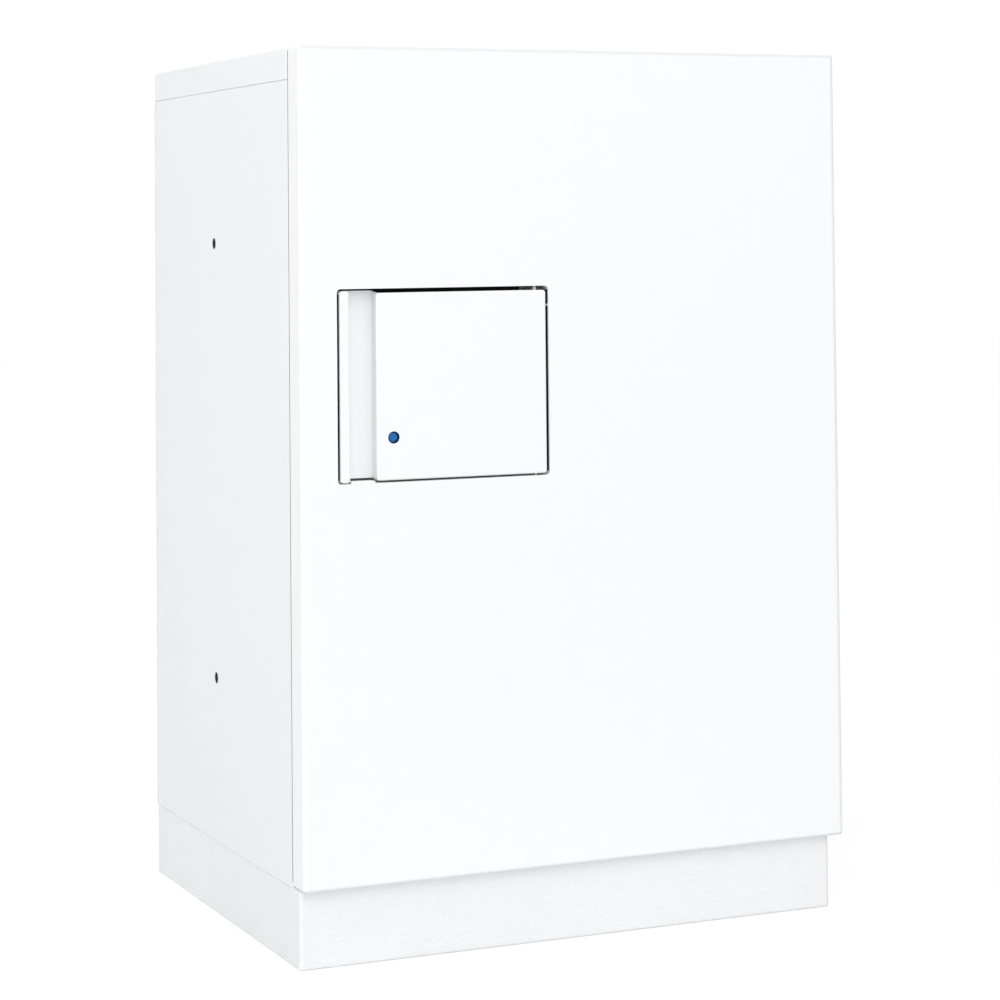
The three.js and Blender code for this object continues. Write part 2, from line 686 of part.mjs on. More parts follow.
// The frame that lines the opening, with a front flange and a stop for the user door.
function compartmentReveal() {
  const leftWall = through(CUT.left - SHEET);
  const stopY = FRONT + USER_DEPTH + 0.8;
  const flangeWidth = 10;
  const collarDepth = flangeWidth + OVERCUT;
  const frame = cut(
    join(
      prism('y', openingOutline(SHEET), [BEHIND_SKIN, DOOR_REAR - 0.5]),
      prism('y', openingOutline(flangeWidth, 12), run(BEHIND_SKIN, SHEET)),
    ),
    prism('y', openingOutline(), [BEHIND_SKIN - OVERCUT, DOOR_REAR + OVERCUT]),
    boltWindow(leftWall),
    cylinder('x', HOOK_AXIS, 5.5, leftWall),
    cylinder('z', PIVOT_AXIS, 3.3, through(CUT.bottom - SHEET)),
    cylinder('z', PIVOT_AXIS, 3.3, through(CUT.top)),
    cylinder('z', PIVOT_AXIS, 4.8, [CUT.bottom - collarDepth, CUT.bottom - SHEET]),
    cylinder('z', PIVOT_AXIS, 4.8, [CUT.top + SHEET, CUT.top + collarDepth]),
  );
  return join(frame, box([CUT.left - 1, CUT.left + 6], run(stopY, SHEET), [585, 645]));
}

// An upright channel, open to the rear.
function serviceDoorStiffener() {
  const x = [90, 150];
  const z = [95, 880];
  return cut(
    box(x, [BEHIND_SKIN, LINER_FRONT - FIT], z),
    box(shrink(x, SHEET), [BEHIND_SKIN + SHEET, LINER_FRONT], grow(z, OVERCUT)),
  );
}

function hingeSocket(z) {
  const x = [HINGE.socketLeft, RIGHT - SHEET - FIT];
  return cut(
    box(x, [BEHIND_SKIN, HINGE.y + 6], [z + ARM.thick + 0.5, z + 25]),
    bore('z', HINGE_AXIS, HINGE.pinRadius + RUN, [z, z + 30]),
  );
}

add(serviceDoor, 'service_door_skin', 'doorWhite', serviceDoorSkin());
add(serviceDoor, 'service_door_liner', 'doorWhite', serviceDoorLiner());
add(serviceDoor, 'compartment_reveal', 'doorWhite', compartmentReveal());
add(serviceDoor, 'service_door_stiffener', 'zinc', serviceDoorStiffener());
for (const [place, z] of Object.entries(ARM.heights)) {
  add(serviceDoor, `hinge_socket_${place}`, 'zinc', hingeSocket(z));
}

// ---------------------------------------------------------------- electric lock
const LOCK_AXIS = [LOCK.y, LOCK.z];

// A case beside the opening, open to the rear.
function lockCase() {
  const x = [-296, -265];
  const [front, rear] = [-246.4, -226];
  const z = around(LOCK.z, 19);
  return cut(
    box(x, [front, rear], z),
    box(shrink(x, SHEET), [front + SHEET, rear + OVERCUT], shrink(z, SHEET)),
    boltWindow(through(x[1] - SHEET)),
  );
}

function lockCoil() {
  const x = [-294.2, -283];
  return cut(
    cylinder('x', LOCK_AXIS, 5.6, x, 20),
    cylinder('x', LOCK_AXIS, 3.4, grow(x, OVERCUT)),
  );
}

function latchBolt() {
  return join(
    box([-279, CUT.left - 0.2], around(LOCK.y, 3), around(LOCK.z, 5)),
    cylinder('x', LOCK_AXIS, 3, [-291, -278]),
  );
}

add(serviceDoor, 'lock_case', 'zinc', lockCase());
add(serviceDoor, 'lock_coil', 'brass', lockCoil());
add(serviceDoor, 'latch_bolt', 'steel', latchBolt());

// ---------------------------------------------------------------- service latch
// Quarter-turn hook latch that holds the service door shut, driven from inside the opening.
// At rest the hook points up, inside the door, with its nose to the rear. Turned down by a
// quarter turn it reaches through the side panel's flange and its nose drops behind it.
const SPINDLE = { radius: 5, sides: 20 };
// The hook's outline about the spindle's axis: towards the rear, up.
const HOOK_OUTLINE = [
  [-6, -6], [6, -6], [6, 21.7], [12, 21.7], [12, 30], [8, 34], [-6, 34],
];

const squareOnHook = (half, radius) =>
  rounded(around(HOOK.y, half), around(HOOK.z, half), radius, 1);

function serviceLatchBlock() {
  const x = [-278, CUT.left - SHEET - FIT];
  const { radius, sides } = SPINDLE;
  return cut(
    box(x, [HOOK.y - 8, LINER_FRONT - 0.5], around(HOOK.z, 9)),
    bore('x', HOOK_AXIS, radius + RUN, grow(x, OVERCUT), sides),
  );
}

// A round spindle with a square end for the hook and a square socket for the key.
function serviceLatchSpindle() {
  const spindleX = [HOOK.x[1] + FIT, CUT.left - 0.5];
  return cut(
    join(
      cylinder('x', HOOK_AXIS, SPINDLE.radius, spindleX, SPINDLE.sides),
      prism('x', squareOnHook(2.4, 0.4), grow(HOOK.x, 2)),
    ),
    prism('x', squareOnHook(2, 0.3), [CUT.left - 5, CUT.left + OVERCUT]),
  );
}

function serviceLatchHook() {
  const outline = HOOK_OUTLINE.map(([y, z]) => [HOOK.y + y, HOOK.z + z]);
  return cut(
    prism('x', outline, HOOK.x),
    prism('x', squareOnHook(2.6, 0.4), grow(HOOK.x, OVERCUT)),
  );
}

add(serviceDoor, 'service_latch_block', 'zinc', serviceLatchBlock());
add(serviceDoor, 'service_latch_spindle', 'steel', serviceLatchSpindle());
add(serviceDoor, 'service_latch_hook', 'steel', serviceLatchHook());

// ---------------------------------------------------------------- user door
// An edge strip on the left, a recessed grip channel, and the face to the right of it.
const USER_EDGE = 2; // outside radius of the front edges
const USER_X = shrink([CUT.left, CUT.right], 2.8);
const USER_Z = [CUT.bottom + 2, CUT.top - 3.5];
const USER_REAR = FRONT + USER_DEPTH;
const STRIP_X = run(USER_X[0], 10.4);
const STRIP_Z = [CUT.bottom + 1, CUT.top - 2];
const CHANNEL = { right: -220.7, bottom: CUT.bottom + 4.3, floor: FRONT + 15 };
const PLATE_Y = [USER_REAR - 0.4 - SHEET, USER_REAR - 0.4];
const BAR_Z = shrink(USER_Z, SHEET + FIT);
const BUTTON = { x: -203.3, z: 513.5, hole: 6.1, sleeve: 5.9, lens: 5.6, recess: 2, sides: 32 };
const BUTTON_AXIS = [BUTTON.x, BUTTON.z];

// Its solids are made too deep and cut off at the rear, so that only the front is rounded.
function userDoorShell() {
  const { right, bottom, floor } = CHANNEL;
  const deepY = [FRONT, USER_REAR + 5];
  const faceX = [right, USER_X[1]];
  const hollowY = [FRONT + SHEET, USER_REAR + OVERCUT];
  const pinHole = PIVOT.pinRadius + 0.3;
  return cut(
    join(
      prism('y', rounded(STRIP_X, STRIP_Z, 3), deepY, USER_EDGE, 3),
      prism('y', rounded(faceX, USER_Z, USER_EDGE + 0.5), deepY, USER_EDGE, 3),
      box([STRIP_X[1] - 2, right + 1], [floor, deepY[1]], [bottom, STRIP_Z[1]]),
    ),
    box(grow(USER_X, OVERCUT), run(USER_REAR, 20), grow(STRIP_Z, OVERCUT)),
    box(shrink(STRIP_X, SHEET), hollowY, shrink(STRIP_Z, SHEET)),
    box(shrink(faceX, SHEET), hollowY, shrink(USER_Z, SHEET)),
    box(
      shrink(USER_X, SHEET),
      [floor + SHEET, USER_REAR + OVERCUT],
      shrink([bottom, USER_Z[1]], SHEET),
    ),
    cylinder('y', BUTTON_AXIS, BUTTON.hole, through(FRONT), BUTTON.sides),
    box(through(USER_X[0]), around(LOCK.y, 4), around(LOCK.z, 6.5)),
    cylinder('z', PIVOT_AXIS, pinHole, through(USER_Z[0])),
    cylinder('z', PIVOT_AXIS, pinHole, through(USER_Z[1] - SHEET)),
  );
}

function userDoorBackPlate() {
  const z = shrink([CHANNEL.bottom, USER_Z[1]], SHEET + FIT);
  return cut(
    box(shrink(USER_X, SHEET + FIT), PLATE_Y, z),
    ...[500, 628].map((height) => cylinder('y', [-140, height], 2, through(PLATE_Y[0]), 12)),
  );
}

function pivotBar() {
  const [bottom, top] = BAR_Z;
  const hole = (span) => cylinder('z', PIVOT_AXIS, PIVOT.pinRadius + 0.15, span);
  return cut(
    box(around(PIVOT.x, 5), [BEHIND_SKIN, PIVOT.y + 5], BAR_Z),
    hole([bottom - OVERCUT, bottom + 20]),
    hole([top - 20, top + OVERCUT]),
  );
}

const pivotPin = (span) => cylinder('z', PIVOT_AXIS, PIVOT.pinRadius, span);

// A collared bush in the reveal. The wall is its face towards the opening; side is the
// direction out of the opening, -1 for down and 1 for up.
function pivotBush(wall, side) {
  const span = (near, far) => onSide(side, [near, far]).map((offset) => wall + offset);
  return cut(
    join(
      cylinder('z', PIVOT_AXIS, 3, span(0.2, 3)),
      cylinder('z', PIVOT_AXIS, 4.4, span(SHEET + FIT, 4.5)),
    ),
    bore('z', PIVOT_AXIS, PIVOT.pinRadius + RUN, span(-1, 8)),
  );
}

// A flanged cup with a hole in its bottom.
function buttonSleeve() {
  return cut(
    join(
      cylinder('y', BUTTON_AXIS, 8.2, run(BEHIND_SKIN, 9), 24),
      cylinder('y', BUTTON_AXIS, 10.5, run(BEHIND_SKIN, 1.5), 24),
    ),
    cylinder('y', BUTTON_AXIS, BUTTON.sleeve, [BEHIND_SKIN - 1, BEHIND_SKIN + 7.5], BUTTON.sides),
    cylinder('y', BUTTON_AXIS, 3.4, run(BEHIND_SKIN, 12)),
  );
}

// A lens with rounded edges, on a stem.
function blueButton() {
  const lens = circle(...BUTTON_AXIS, BUTTON.lens, BUTTON.sides);
  return join(
    prism('y', lens, [FRONT + BUTTON.recess, BEHIND_SKIN + 5.6], 0.8, 2),
    cylinder('y', BUTTON_AXIS, 3, [BEHIND_SKIN + 5, BEHIND_SKIN + 9.4]),
  );
}

function buttonSwitch() {
  const y = [BEHIND_SKIN + 11, PLATE_Y[0] - FIT];
  return box(around(BUTTON.x, 6), y, around(BUTTON.z, 6));
}

const lowerPin = pivotPin([CUT.bottom - 5.5, BAR_Z[0] + 18]);
const upperPin = pivotPin([BAR_Z[1] - 18, CUT.top + 5.5]);
add(userDoor, 'user_door_shell', 'doorWhite', userDoorShell());
add(userDoor, 'user_door_back_plate', 'doorWhite', userDoorBackPlate());
add(userDoor, 'pivot_bar', 'zinc', pivotBar());
add(userDoor, 'pivot_pin_lower', 'steel', lowerPin);
add(userDoor, 'pivot_pin_upper', 'steel', upperPin);
add(serviceDoor, 'pivot_bush_lower', 'nylon', pivotBush(CUT.bottom, -1));
add(serviceDoor, 'pivot_bush_upper', 'nylon', pivotBush(CUT.top, 1));
add(userDoor, 'button_sleeve', 'darkPlastic', buttonSleeve());
add(userDoor, 'blue_button', 'blue', blueButton());
add(userDoor, 'button_switch', 'darkPlastic', buttonSwitch());

export default kiosk;
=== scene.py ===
"""Looks of a free-standing phone charging kiosk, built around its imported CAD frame."""
import json
import math

import bpy
import bmesh
from mathutils import Matrix, Vector


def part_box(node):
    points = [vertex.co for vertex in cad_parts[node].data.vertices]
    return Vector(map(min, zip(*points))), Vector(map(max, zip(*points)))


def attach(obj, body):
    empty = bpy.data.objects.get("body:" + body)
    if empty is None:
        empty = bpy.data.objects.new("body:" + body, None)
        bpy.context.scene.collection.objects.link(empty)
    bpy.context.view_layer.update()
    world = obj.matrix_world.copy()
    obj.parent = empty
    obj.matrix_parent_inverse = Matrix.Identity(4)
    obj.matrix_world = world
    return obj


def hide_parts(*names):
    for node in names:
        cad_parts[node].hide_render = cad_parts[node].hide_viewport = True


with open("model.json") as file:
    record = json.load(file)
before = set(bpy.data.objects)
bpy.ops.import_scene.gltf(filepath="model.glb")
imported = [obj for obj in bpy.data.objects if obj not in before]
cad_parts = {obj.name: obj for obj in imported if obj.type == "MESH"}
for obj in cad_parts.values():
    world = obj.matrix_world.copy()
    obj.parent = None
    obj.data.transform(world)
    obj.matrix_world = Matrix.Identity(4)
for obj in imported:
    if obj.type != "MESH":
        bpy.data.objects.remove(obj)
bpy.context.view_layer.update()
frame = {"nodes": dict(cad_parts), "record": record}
NODES = frame["nodes"]
SLOT_OF = {s["node"]: s["material_slot"] for s in frame["record"]["subparts"]}
MM = 0.001


def mm_box(node):
    lo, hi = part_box(node)
    return [c / MM for c in lo], [c / MM for c in hi]


# =============================================================== node helpers
class Graph:
    """A small wrapper that builds shader nodes with short lines."""

    def __init__(self, tree):
        self.t = tree
        self.t.nodes.clear()
        self.x = 0

    def add(self, kind, **values):
        n = self.t.nodes.new(kind)
        n.location = (self.x, 0)
        self.x += 180
        for k, v in values.items():
            if hasattr(n, k) and k not in n.inputs:
                setattr(n, k, v)
            else:
                self.put(n, k, v)
        return n

    def put(self, n, key, v):
        socket = n.inputs[key]
        if isinstance(v, bpy.types.NodeSocket):
            self.t.links.new(v, socket)
        else:
            socket.default_value = v

    def coords(self, scale=(1, 1, 1)):
        tc = self.add("ShaderNodeTexCoord")
        if tuple(scale) == (1, 1, 1):
            return tc.outputs["Object"]
        m = self.add("ShaderNodeMapping")
        self.put(m, "Vector", tc.outputs["Object"])
        self.put(m, "Scale", scale)
        return m.outputs["Vector"]

    def noise(self, vec, scale, detail=2.0, rough=0.5, distortion=0.0):
        n = self.add("ShaderNodeTexNoise")
        self.put(n, "Vector", vec)
        self.put(n, "Scale", scale)
        self.put(n, "Detail", detail)
        self.put(n, "Roughness", rough)
        self.put(n, "Distortion", distortion)
        return n.outputs["Fac"]

    def voronoi(self, vec, scale, out="Distance", feature="F1", randomness=1.0):
        n = self.add("ShaderNodeTexVoronoi", feature=feature)
        self.put(n, "Vector", vec)
        self.put(n, "Scale", scale)
        self.put(n, "Randomness", randomness)
        return n.outputs[out]

    def math(self, op, a, b=0.0, clamp=False):
        n = self.add("ShaderNodeMath", operation=op, use_clamp=clamp)
        for i, v in enumerate((a, b)):
            if isinstance(v, bpy.types.NodeSocket):
                self.t.links.new(v, n.inputs[i])
            else:
                n.inputs[i].default_value = v
        return n.outputs[0]

    def span(self, v, a, b, c, d):
        n = self.add("ShaderNodeMapRange")
        self.put(n, "Value", v)
        self.put(n, "From Min", a)
        self.put(n, "From Max", b)
        self.put(n, "To Min", c)
        self.put(n, "To Max", d)
        return n.outputs["Result"]

    def mix(self, fac, a, b):
        n = self.add("ShaderNodeMix", data_type="RGBA")
        for key, v in ((0, fac), (6, a), (7, b)):
            if isinstance(v, bpy.types.NodeSocket):
                self.t.links.new(v, n.inputs[key])
            else:
                n.inputs[key].default_value = v if key == 0 else (*v[:3], 1.0)
        return n.outputs[2]

    def bump(self, height, strength, distance, normal=None):
        n = self.add("ShaderNodeBump")
        self.put(n, "Height", height)
        self.put(n, "Strength", strength)
        self.put(n, "Distance", distance)
        if normal is not None:
            self.put(n, "Normal", normal)
        return n.outputs["Normal"]

    def surface(self, **inputs):
        p = self.add("ShaderNodeBsdfPrincipled")
        for k, v in inputs.items():
            key = k.replace("_", " ")
            if key == "Base Color" and not isinstance(v, bpy.types.NodeSocket):
                v = (*v[:3], 1.0)
            self.put(p, key, v)
        out = self.add("ShaderNodeOutputMaterial")
        self.t.links.new(p.outputs["BSDF"], out.inputs["Surface"])
        return p


def material(name):
    m = bpy.data.materials.new(name)
    m.use_nodes = True
    return m, Graph(m.node_tree)


def srgb(r, g, b):
    def lin(c):
        c /= 255.0
        return c / 12.92 if c <= 0.04045 else ((c + 0.055) / 1.055) ** 2.4
    return (lin(r), lin(g), lin(b))


# =============================================================== materials
def powder_coat(name, base, rough, peel_scale, peel, grain, mottle=0.01, spec=0.5, fold_shade=None):
    """Powder coat: broad orange peel, a fine grain on top, faint tone and gloss drift.

    The last argument lists the folds that get painted shade, darker towards the fold's outer edge, as (axis, from, to,
    last y of the fold, share), in millimetres.
    """
    m, g = material(name)
    at = g.coords()
    drift = g.noise(at, 3.1, 2.0)
    cloud = g.noise(at, 41.0, 3.0, 0.6)
    peel_h = g.noise(at, peel_scale, 2.0, 0.45, 0.2)
    grain_h = g.noise(at, 2600.0, 2.0, 0.6)
    low = tuple(c * (1.0 - mottle * 2.0) for c in base)
    tone = g.math("ADD", g.math("MULTIPLY", drift, 0.6), g.math("MULTIPLY", cloud, 0.4))
    tone = g.math("ADD", g.math("MULTIPLY", tone, 0.75), g.math("MULTIPLY", peel_h, 0.25))
    color = g.mix(g.span(tone, 0.3, 0.7, 0.0, 1.0), low, base)
    if fold_shade:
        sep = g.add("ShaderNodeSeparateXYZ")
        g.put(sep, "Vector", at)
        for axis, start, full, y_last, share in fold_shade:
            near = g.add("ShaderNodeMapRange", clamp=True)
            g.put(near, "Value", sep.outputs[axis])
            g.put(near, "From Min", start * MM)
            g.put(near, "From Max", full * MM)
            g.put(near, "To Min", 0.0)
            g.put(near, "To Max", share)
            fade = g.add("ShaderNodeMapRange", clamp=True)
            g.put(fade, "Value", sep.outputs["Y"])
            g.put(fade, "From Min", (y_last + 0.6) * MM)
            g.put(fade, "From Max", (y_last - 0.6) * MM)
            g.put(fade, "To Min", 0.0)
            g.put(fade, "To Max", 1.0)
            fold_shade_amount = g.math("MULTIPLY", near.outputs["Result"], fade.outputs["Result"])
            # painted shade on the fold: darkened towards 0.7 of the base colour
            color = g.mix(fold_shade_amount, color, tuple(c * 0.7 for c in base))
    roughness = g.span(cloud, 0.25, 0.75, rough - 0.03, rough + 0.04)
    n1 = g.bump(peel_h, peel, 0.0009)
    n2 = g.bump(grain_h, grain, 0.00012, n1)
    g.surface(Base_Color=color, Roughness=roughness, Normal=n2, Specular_IOR_Level=spec)
    return m


def zinc(name):
    m, g = material(name)
    at = g.coords()
    cell = g.voronoi(at, 190.0, "Color")
    sep = g.add("ShaderNodeSeparateColor")
    g.put(sep, "Color", cell)
    spangle = sep.outputs[0]
    cloud = g.noise(at, 60.0, 3.0)
    color = g.mix(g.span(spangle, 0.0, 1.0, 0.0, 1.0), srgb(178, 182, 188), srgb(204, 206, 208))
    color = g.mix(g.span(cloud, 0.35, 0.7, 0.0, 0.35), color, srgb(196, 192, 176))
    rough = g.math("ADD", g.span(cloud, 0.2, 0.8, 0.3, 0.46), g.math("MULTIPLY", spangle, 0.06))
    n = g.bump(g.noise(at, 700.0, 3.0), 0.12, 0.0002)
    g.surface(Base_Color=color, Metallic=0.92, Roughness=rough, Normal=n)
    return m


def brushed(name, low, high, stretch, rough):
    """Turned or brushed metal: fine streaks along one direction."""
    m, g = material(name)
    at = g.coords(stretch)
    streak = g.noise(at, 900.0, 4.0, 0.7)
    broad = g.noise(g.coords(), 35.0, 2.0)
    color = g.mix(g.span(streak, 0.3, 0.7, 0.0, 1.0), low, high)
    r = g.math("ADD", g.span(streak, 0.2, 0.8, rough - 0.05, rough + 0.07), g.math("MULTIPLY", broad, 0.05))
    n = g.bump(streak, 0.12, 0.00008)
    g.surface(Base_Color=color, Metallic=1.0, Roughness=r, Normal=n)
    return m


def coil(name):
    """Enamelled winding: fine turns across the X axis."""
    m, g = material(name)
    at = g.coords()
    w = g.add("ShaderNodeTexWave", wave_type="BANDS", bands_direction="X", wave_profile="SIN")
    g.put(w, "Vector", at)
    g.put(w, "Scale", 380.0)
    g.put(w, "Distortion", 0.4)
    turns = w.outputs["Fac"]
    color = g.mix(turns, srgb(120, 70, 28), srgb(214, 158, 84))
    g.surface(Base_Color=color, Metallic=0.75, Roughness=0.33, Normal=g.bump(turns, 0.7, 0.0003))
    return m


def plastic(name, low, high, rough, grain, scale=1500.0, spec=0.5):
    m, g = material(name)
    at = g.coords()
    spark = g.noise(at, scale, 3.0, 0.65)
    cloud = g.noise(at, 28.0, 2.0)
    color = g.mix(g.span(cloud, 0.3, 0.7, 0.0, 1.0), low, high)
    r = g.math("ADD", g.span(spark, 0.2, 0.8, rough - 0.05, rough + 0.05), g.math("MULTIPLY", cloud, 0.04))
    g.surface(Base_Color=color, Roughness=r, Normal=g.bump(spark, grain, 0.0002), Specular_IOR_Level=spec)
    return m


def nylon_like(name, low, high, rough, weight):
    m, g = material(name)
    at = g.coords()
    cloud = g.noise(at, 160.0, 3.0)
    color = g.mix(g.span(cloud, 0.3, 0.7, 0.0, 1.0), low, high)
    g.surface(
        Base_Color=color, Roughness=g.span(cloud, 0.2, 0.8, rough - 0.04, rough + 0.06),
        Subsurface_Weight=weight, Subsurface_Radius=(0.004, 0.003, 0.002), Subsurface_Scale=0.2,
        Normal=g.bump(g.noise(at, 2200.0, 2.0), 0.08, 0.0001),
    )
    return m


def circuit_board(name):
    m, g = material(name)
    at = g.coords((1, 1, 1))
    tracks = g.add("ShaderNodeTexBrick")
    g.put(tracks, "Vector", at)
    g.put(tracks, "Scale", 170.0)
    g.put(tracks, "Mortar Size", 0.09)
    g.put(tracks, "Mortar Smooth", 0.1)
    g.put(tracks, "Color1", (*srgb(20, 86, 52), 1))
    g.put(tracks, "Color2", (*srgb(24, 98, 58), 1))
    g.put(tracks, "Mortar", (*srgb(58, 132, 84), 1))
    dots = g.math("LESS_THAN", g.voronoi(at, 260.0), 0.16)
    color = g.mix(dots, tracks.outputs["Color"], srgb(196, 186, 150))
    metal = g.math("MULTIPLY", dots, 0.8)
    g.surface(
        Base_Color=color, Metallic=metal, Roughness=0.32,
        Normal=g.bump(tracks.outputs["Fac"], 0.2, 0.0002), Coat_Weight=0.4, Coat_Roughness=0.15,
    )
    return m


def blue_lens(name, centre, radius):
    """Blue push button seen through its own surface: brighter patches in the middle, and painted shade of its recess,
    darker navy towards the rim.
    """
    m, g = material(name)
    at = g.coords()
    sub = g.add("ShaderNodeVectorMath", operation="DISTANCE")
    flat = g.add("ShaderNodeVectorMath", operation="MULTIPLY")
    g.t.links.new(at, flat.inputs[0])
    flat.inputs[1].default_value = (1, 0, 1)
    g.t.links.new(flat.outputs[0], sub.inputs[0])
    sub.inputs[1].default_value = (centre[0], 0.0, centre[1])
    away = g.math("DIVIDE", sub.outputs["Value"], radius)
    patches = g.noise(at, 520.0, 2.0, 0.5)
    color = g.mix(g.span(patches, 0.38, 0.62, 0.0, 1.0), srgb(24, 98, 168), srgb(30, 122, 196))
    # painted shade of the recess: darker navy towards the rim
    color = g.mix(g.span(away, 0.72, 1.0, 0.0, 1.0), color, srgb(14, 54, 104))
    g.surface(
        Base_Color=color, Roughness=g.span(patches, 0.3, 0.7, 0.3, 0.42), Specular_IOR_Level=0.22,
        IOR=1.49, Coat_Weight=0.06, Coat_Roughness=0.2,
        Normal=g.bump(g.noise(at, 900.0, 2.0), 0.08, 0.0002),
    )
    return m


sleeve_lo, sleeve_hi = mm_box("button_sleeve")
BTN_X = (sleeve_lo[0] + sleeve_hi[0]) / 2
BTN_Z = (sleeve_lo[2] + sleeve_hi[2]) / 2

MATS = {
    "cabinet_powder_coat": powder_coat("cabinet_powder_coat", srgb(239, 240, 243), 0.46, 240.0, 0.05, 0.05, 0.008),
    # painted shade on the door's right, top and bottom folds
    "door_powder_coat": powder_coat("door_powder_coat", srgb(243, 244, 246), 0.42, 210.0, 0.03, 0.03, 0.004,
                                    fold_shade=[("X", 294.7, 296.6, -247.6, 0.44), ("Z", 896.0, 897.8, -247.6, 0.6), ("Z", 80.2, 78.4, -247.6, 0.3)]),
    # painted shade on the plinth's right fold and darker towards its bottom edge
    "plinth_powder_coat": powder_coat("plinth_powder_coat", srgb(241, 242, 243), 0.5, 260.0, 0.9, 0.3, 0.03,
                                      fold_shade=[("X", 284.4, 286.6, -235.2, 0.3), ("Z", 2.6, 1.0, 260.0, 0.22)]),
    "inner_powder_coat": powder_coat("inner_powder_coat", srgb(232, 234, 236), 0.5, 260.0, 0.06, 0.06, 0.01),
    "zinc_steel": zinc("zinc_steel"),
    "bright_steel": brushed("bright_steel", srgb(190, 192, 195), srgb(236, 237, 238), (1, 1, 0.08), 0.2),
    "device_aluminium": brushed("device_aluminium", srgb(176, 178, 181), srgb(206, 208, 210), (0.06, 1, 1), 0.34),
    "coil_brass": coil("coil_brass"),
    "dark_plastic": plastic("dark_plastic", srgb(30, 31, 34), srgb(40, 42, 45), 0.5, 0.25),
    "grey_plastic": plastic("grey_plastic", srgb(138, 142, 147), srgb(152, 155, 159), 0.52, 0.22),
    "nylon": nylon_like("nylon", srgb(222, 219, 208), srgb(234, 231, 222), 0.42, 0.15),
    "black_rubber": plastic("black_rubber", srgb(22, 22, 24), srgb(34, 34, 36), 0.82, 0.35, 900.0, 0.3),
    "white_cable": nylon_like("white_cable", srgb(226, 227, 229), srgb(240, 241, 242), 0.46, 0.08),
    "black_cable": plastic("black_cable", srgb(24, 25, 28), srgb(34, 35, 38), 0.55, 0.2, 700.0),
    "circuit_board": circuit_board("circuit_board"),
    "blue_lens": blue_lens("blue_lens", (BTN_X * MM, BTN_Z * MM), 0.0054),
}
# a darker copy of the door coat: painted shade for the grip channel's right wall
CHANNEL_WALL_SHADE = powder_coat("channel_wall_painted_shade", srgb(227, 228, 230), 0.5, 210.0, 0.03, 0.03, 0.004)
NAVY = plastic("navy_bezel", srgb(8, 34, 68), srgb(12, 42, 80), 0.45, 0.1, spec=0.25)


def finish_with(obj, slot):
    obj.data.materials.clear()
    obj.data.materials.append(MATS[slot])


# =============================================================== mesh helpers (millimetres)
def rrect(u0, u1, v0, v1, r, n=6):
    """Rounded rectangle, counter-clockwise, 4*(n+1) points. r is one radius or (u0v0, u1v0, u1v1, u0v1)."""
    rs = (r,) * 4 if not isinstance(r, (tuple, list)) else r
    rs = [max(x, 0.05) for x in rs]
    pts = []
    for (cu, cv, a0), rr in zip(
        ((u0 + rs[0], v0 + rs[0], 180), (u1 - rs[1], v0 + rs[1], 270), (u1 - rs[2], v1 - rs[2], 0), (u0 + rs[3], v1 - rs[3], 90)), rs
    ):
        for i in range(n + 1):
            a = math.radians(a0 + 90.0 * i / n)
            pts.append((cu + rr * math.cos(a), cv + rr * math.sin(a)))
    return pts


def circle(u, v, r, n=48, phase=0.0):
    return [(u + r * math.cos(2 * math.pi * (i + phase) / n), v + r * math.sin(2 * math.pi * (i + phase) / n)) for i in range(n)]


def inset_at(r, d):
    """How far a rounded edge of radius r is drawn in at distance d from its flat."""
    if d >= r:
        return 0.0
    return r - math.sqrt(max(r * r - (r - d) ** 2, 0.0))


AXES = {
    # maps (u, v, w) to (x, y, z)
    "xz_y": lambda u, v, w: (u, w, v),
    "yz_x": lambda u, v, w: (w, u, v),
    "xy_z": lambda u, v, w: (u, v, w),
}


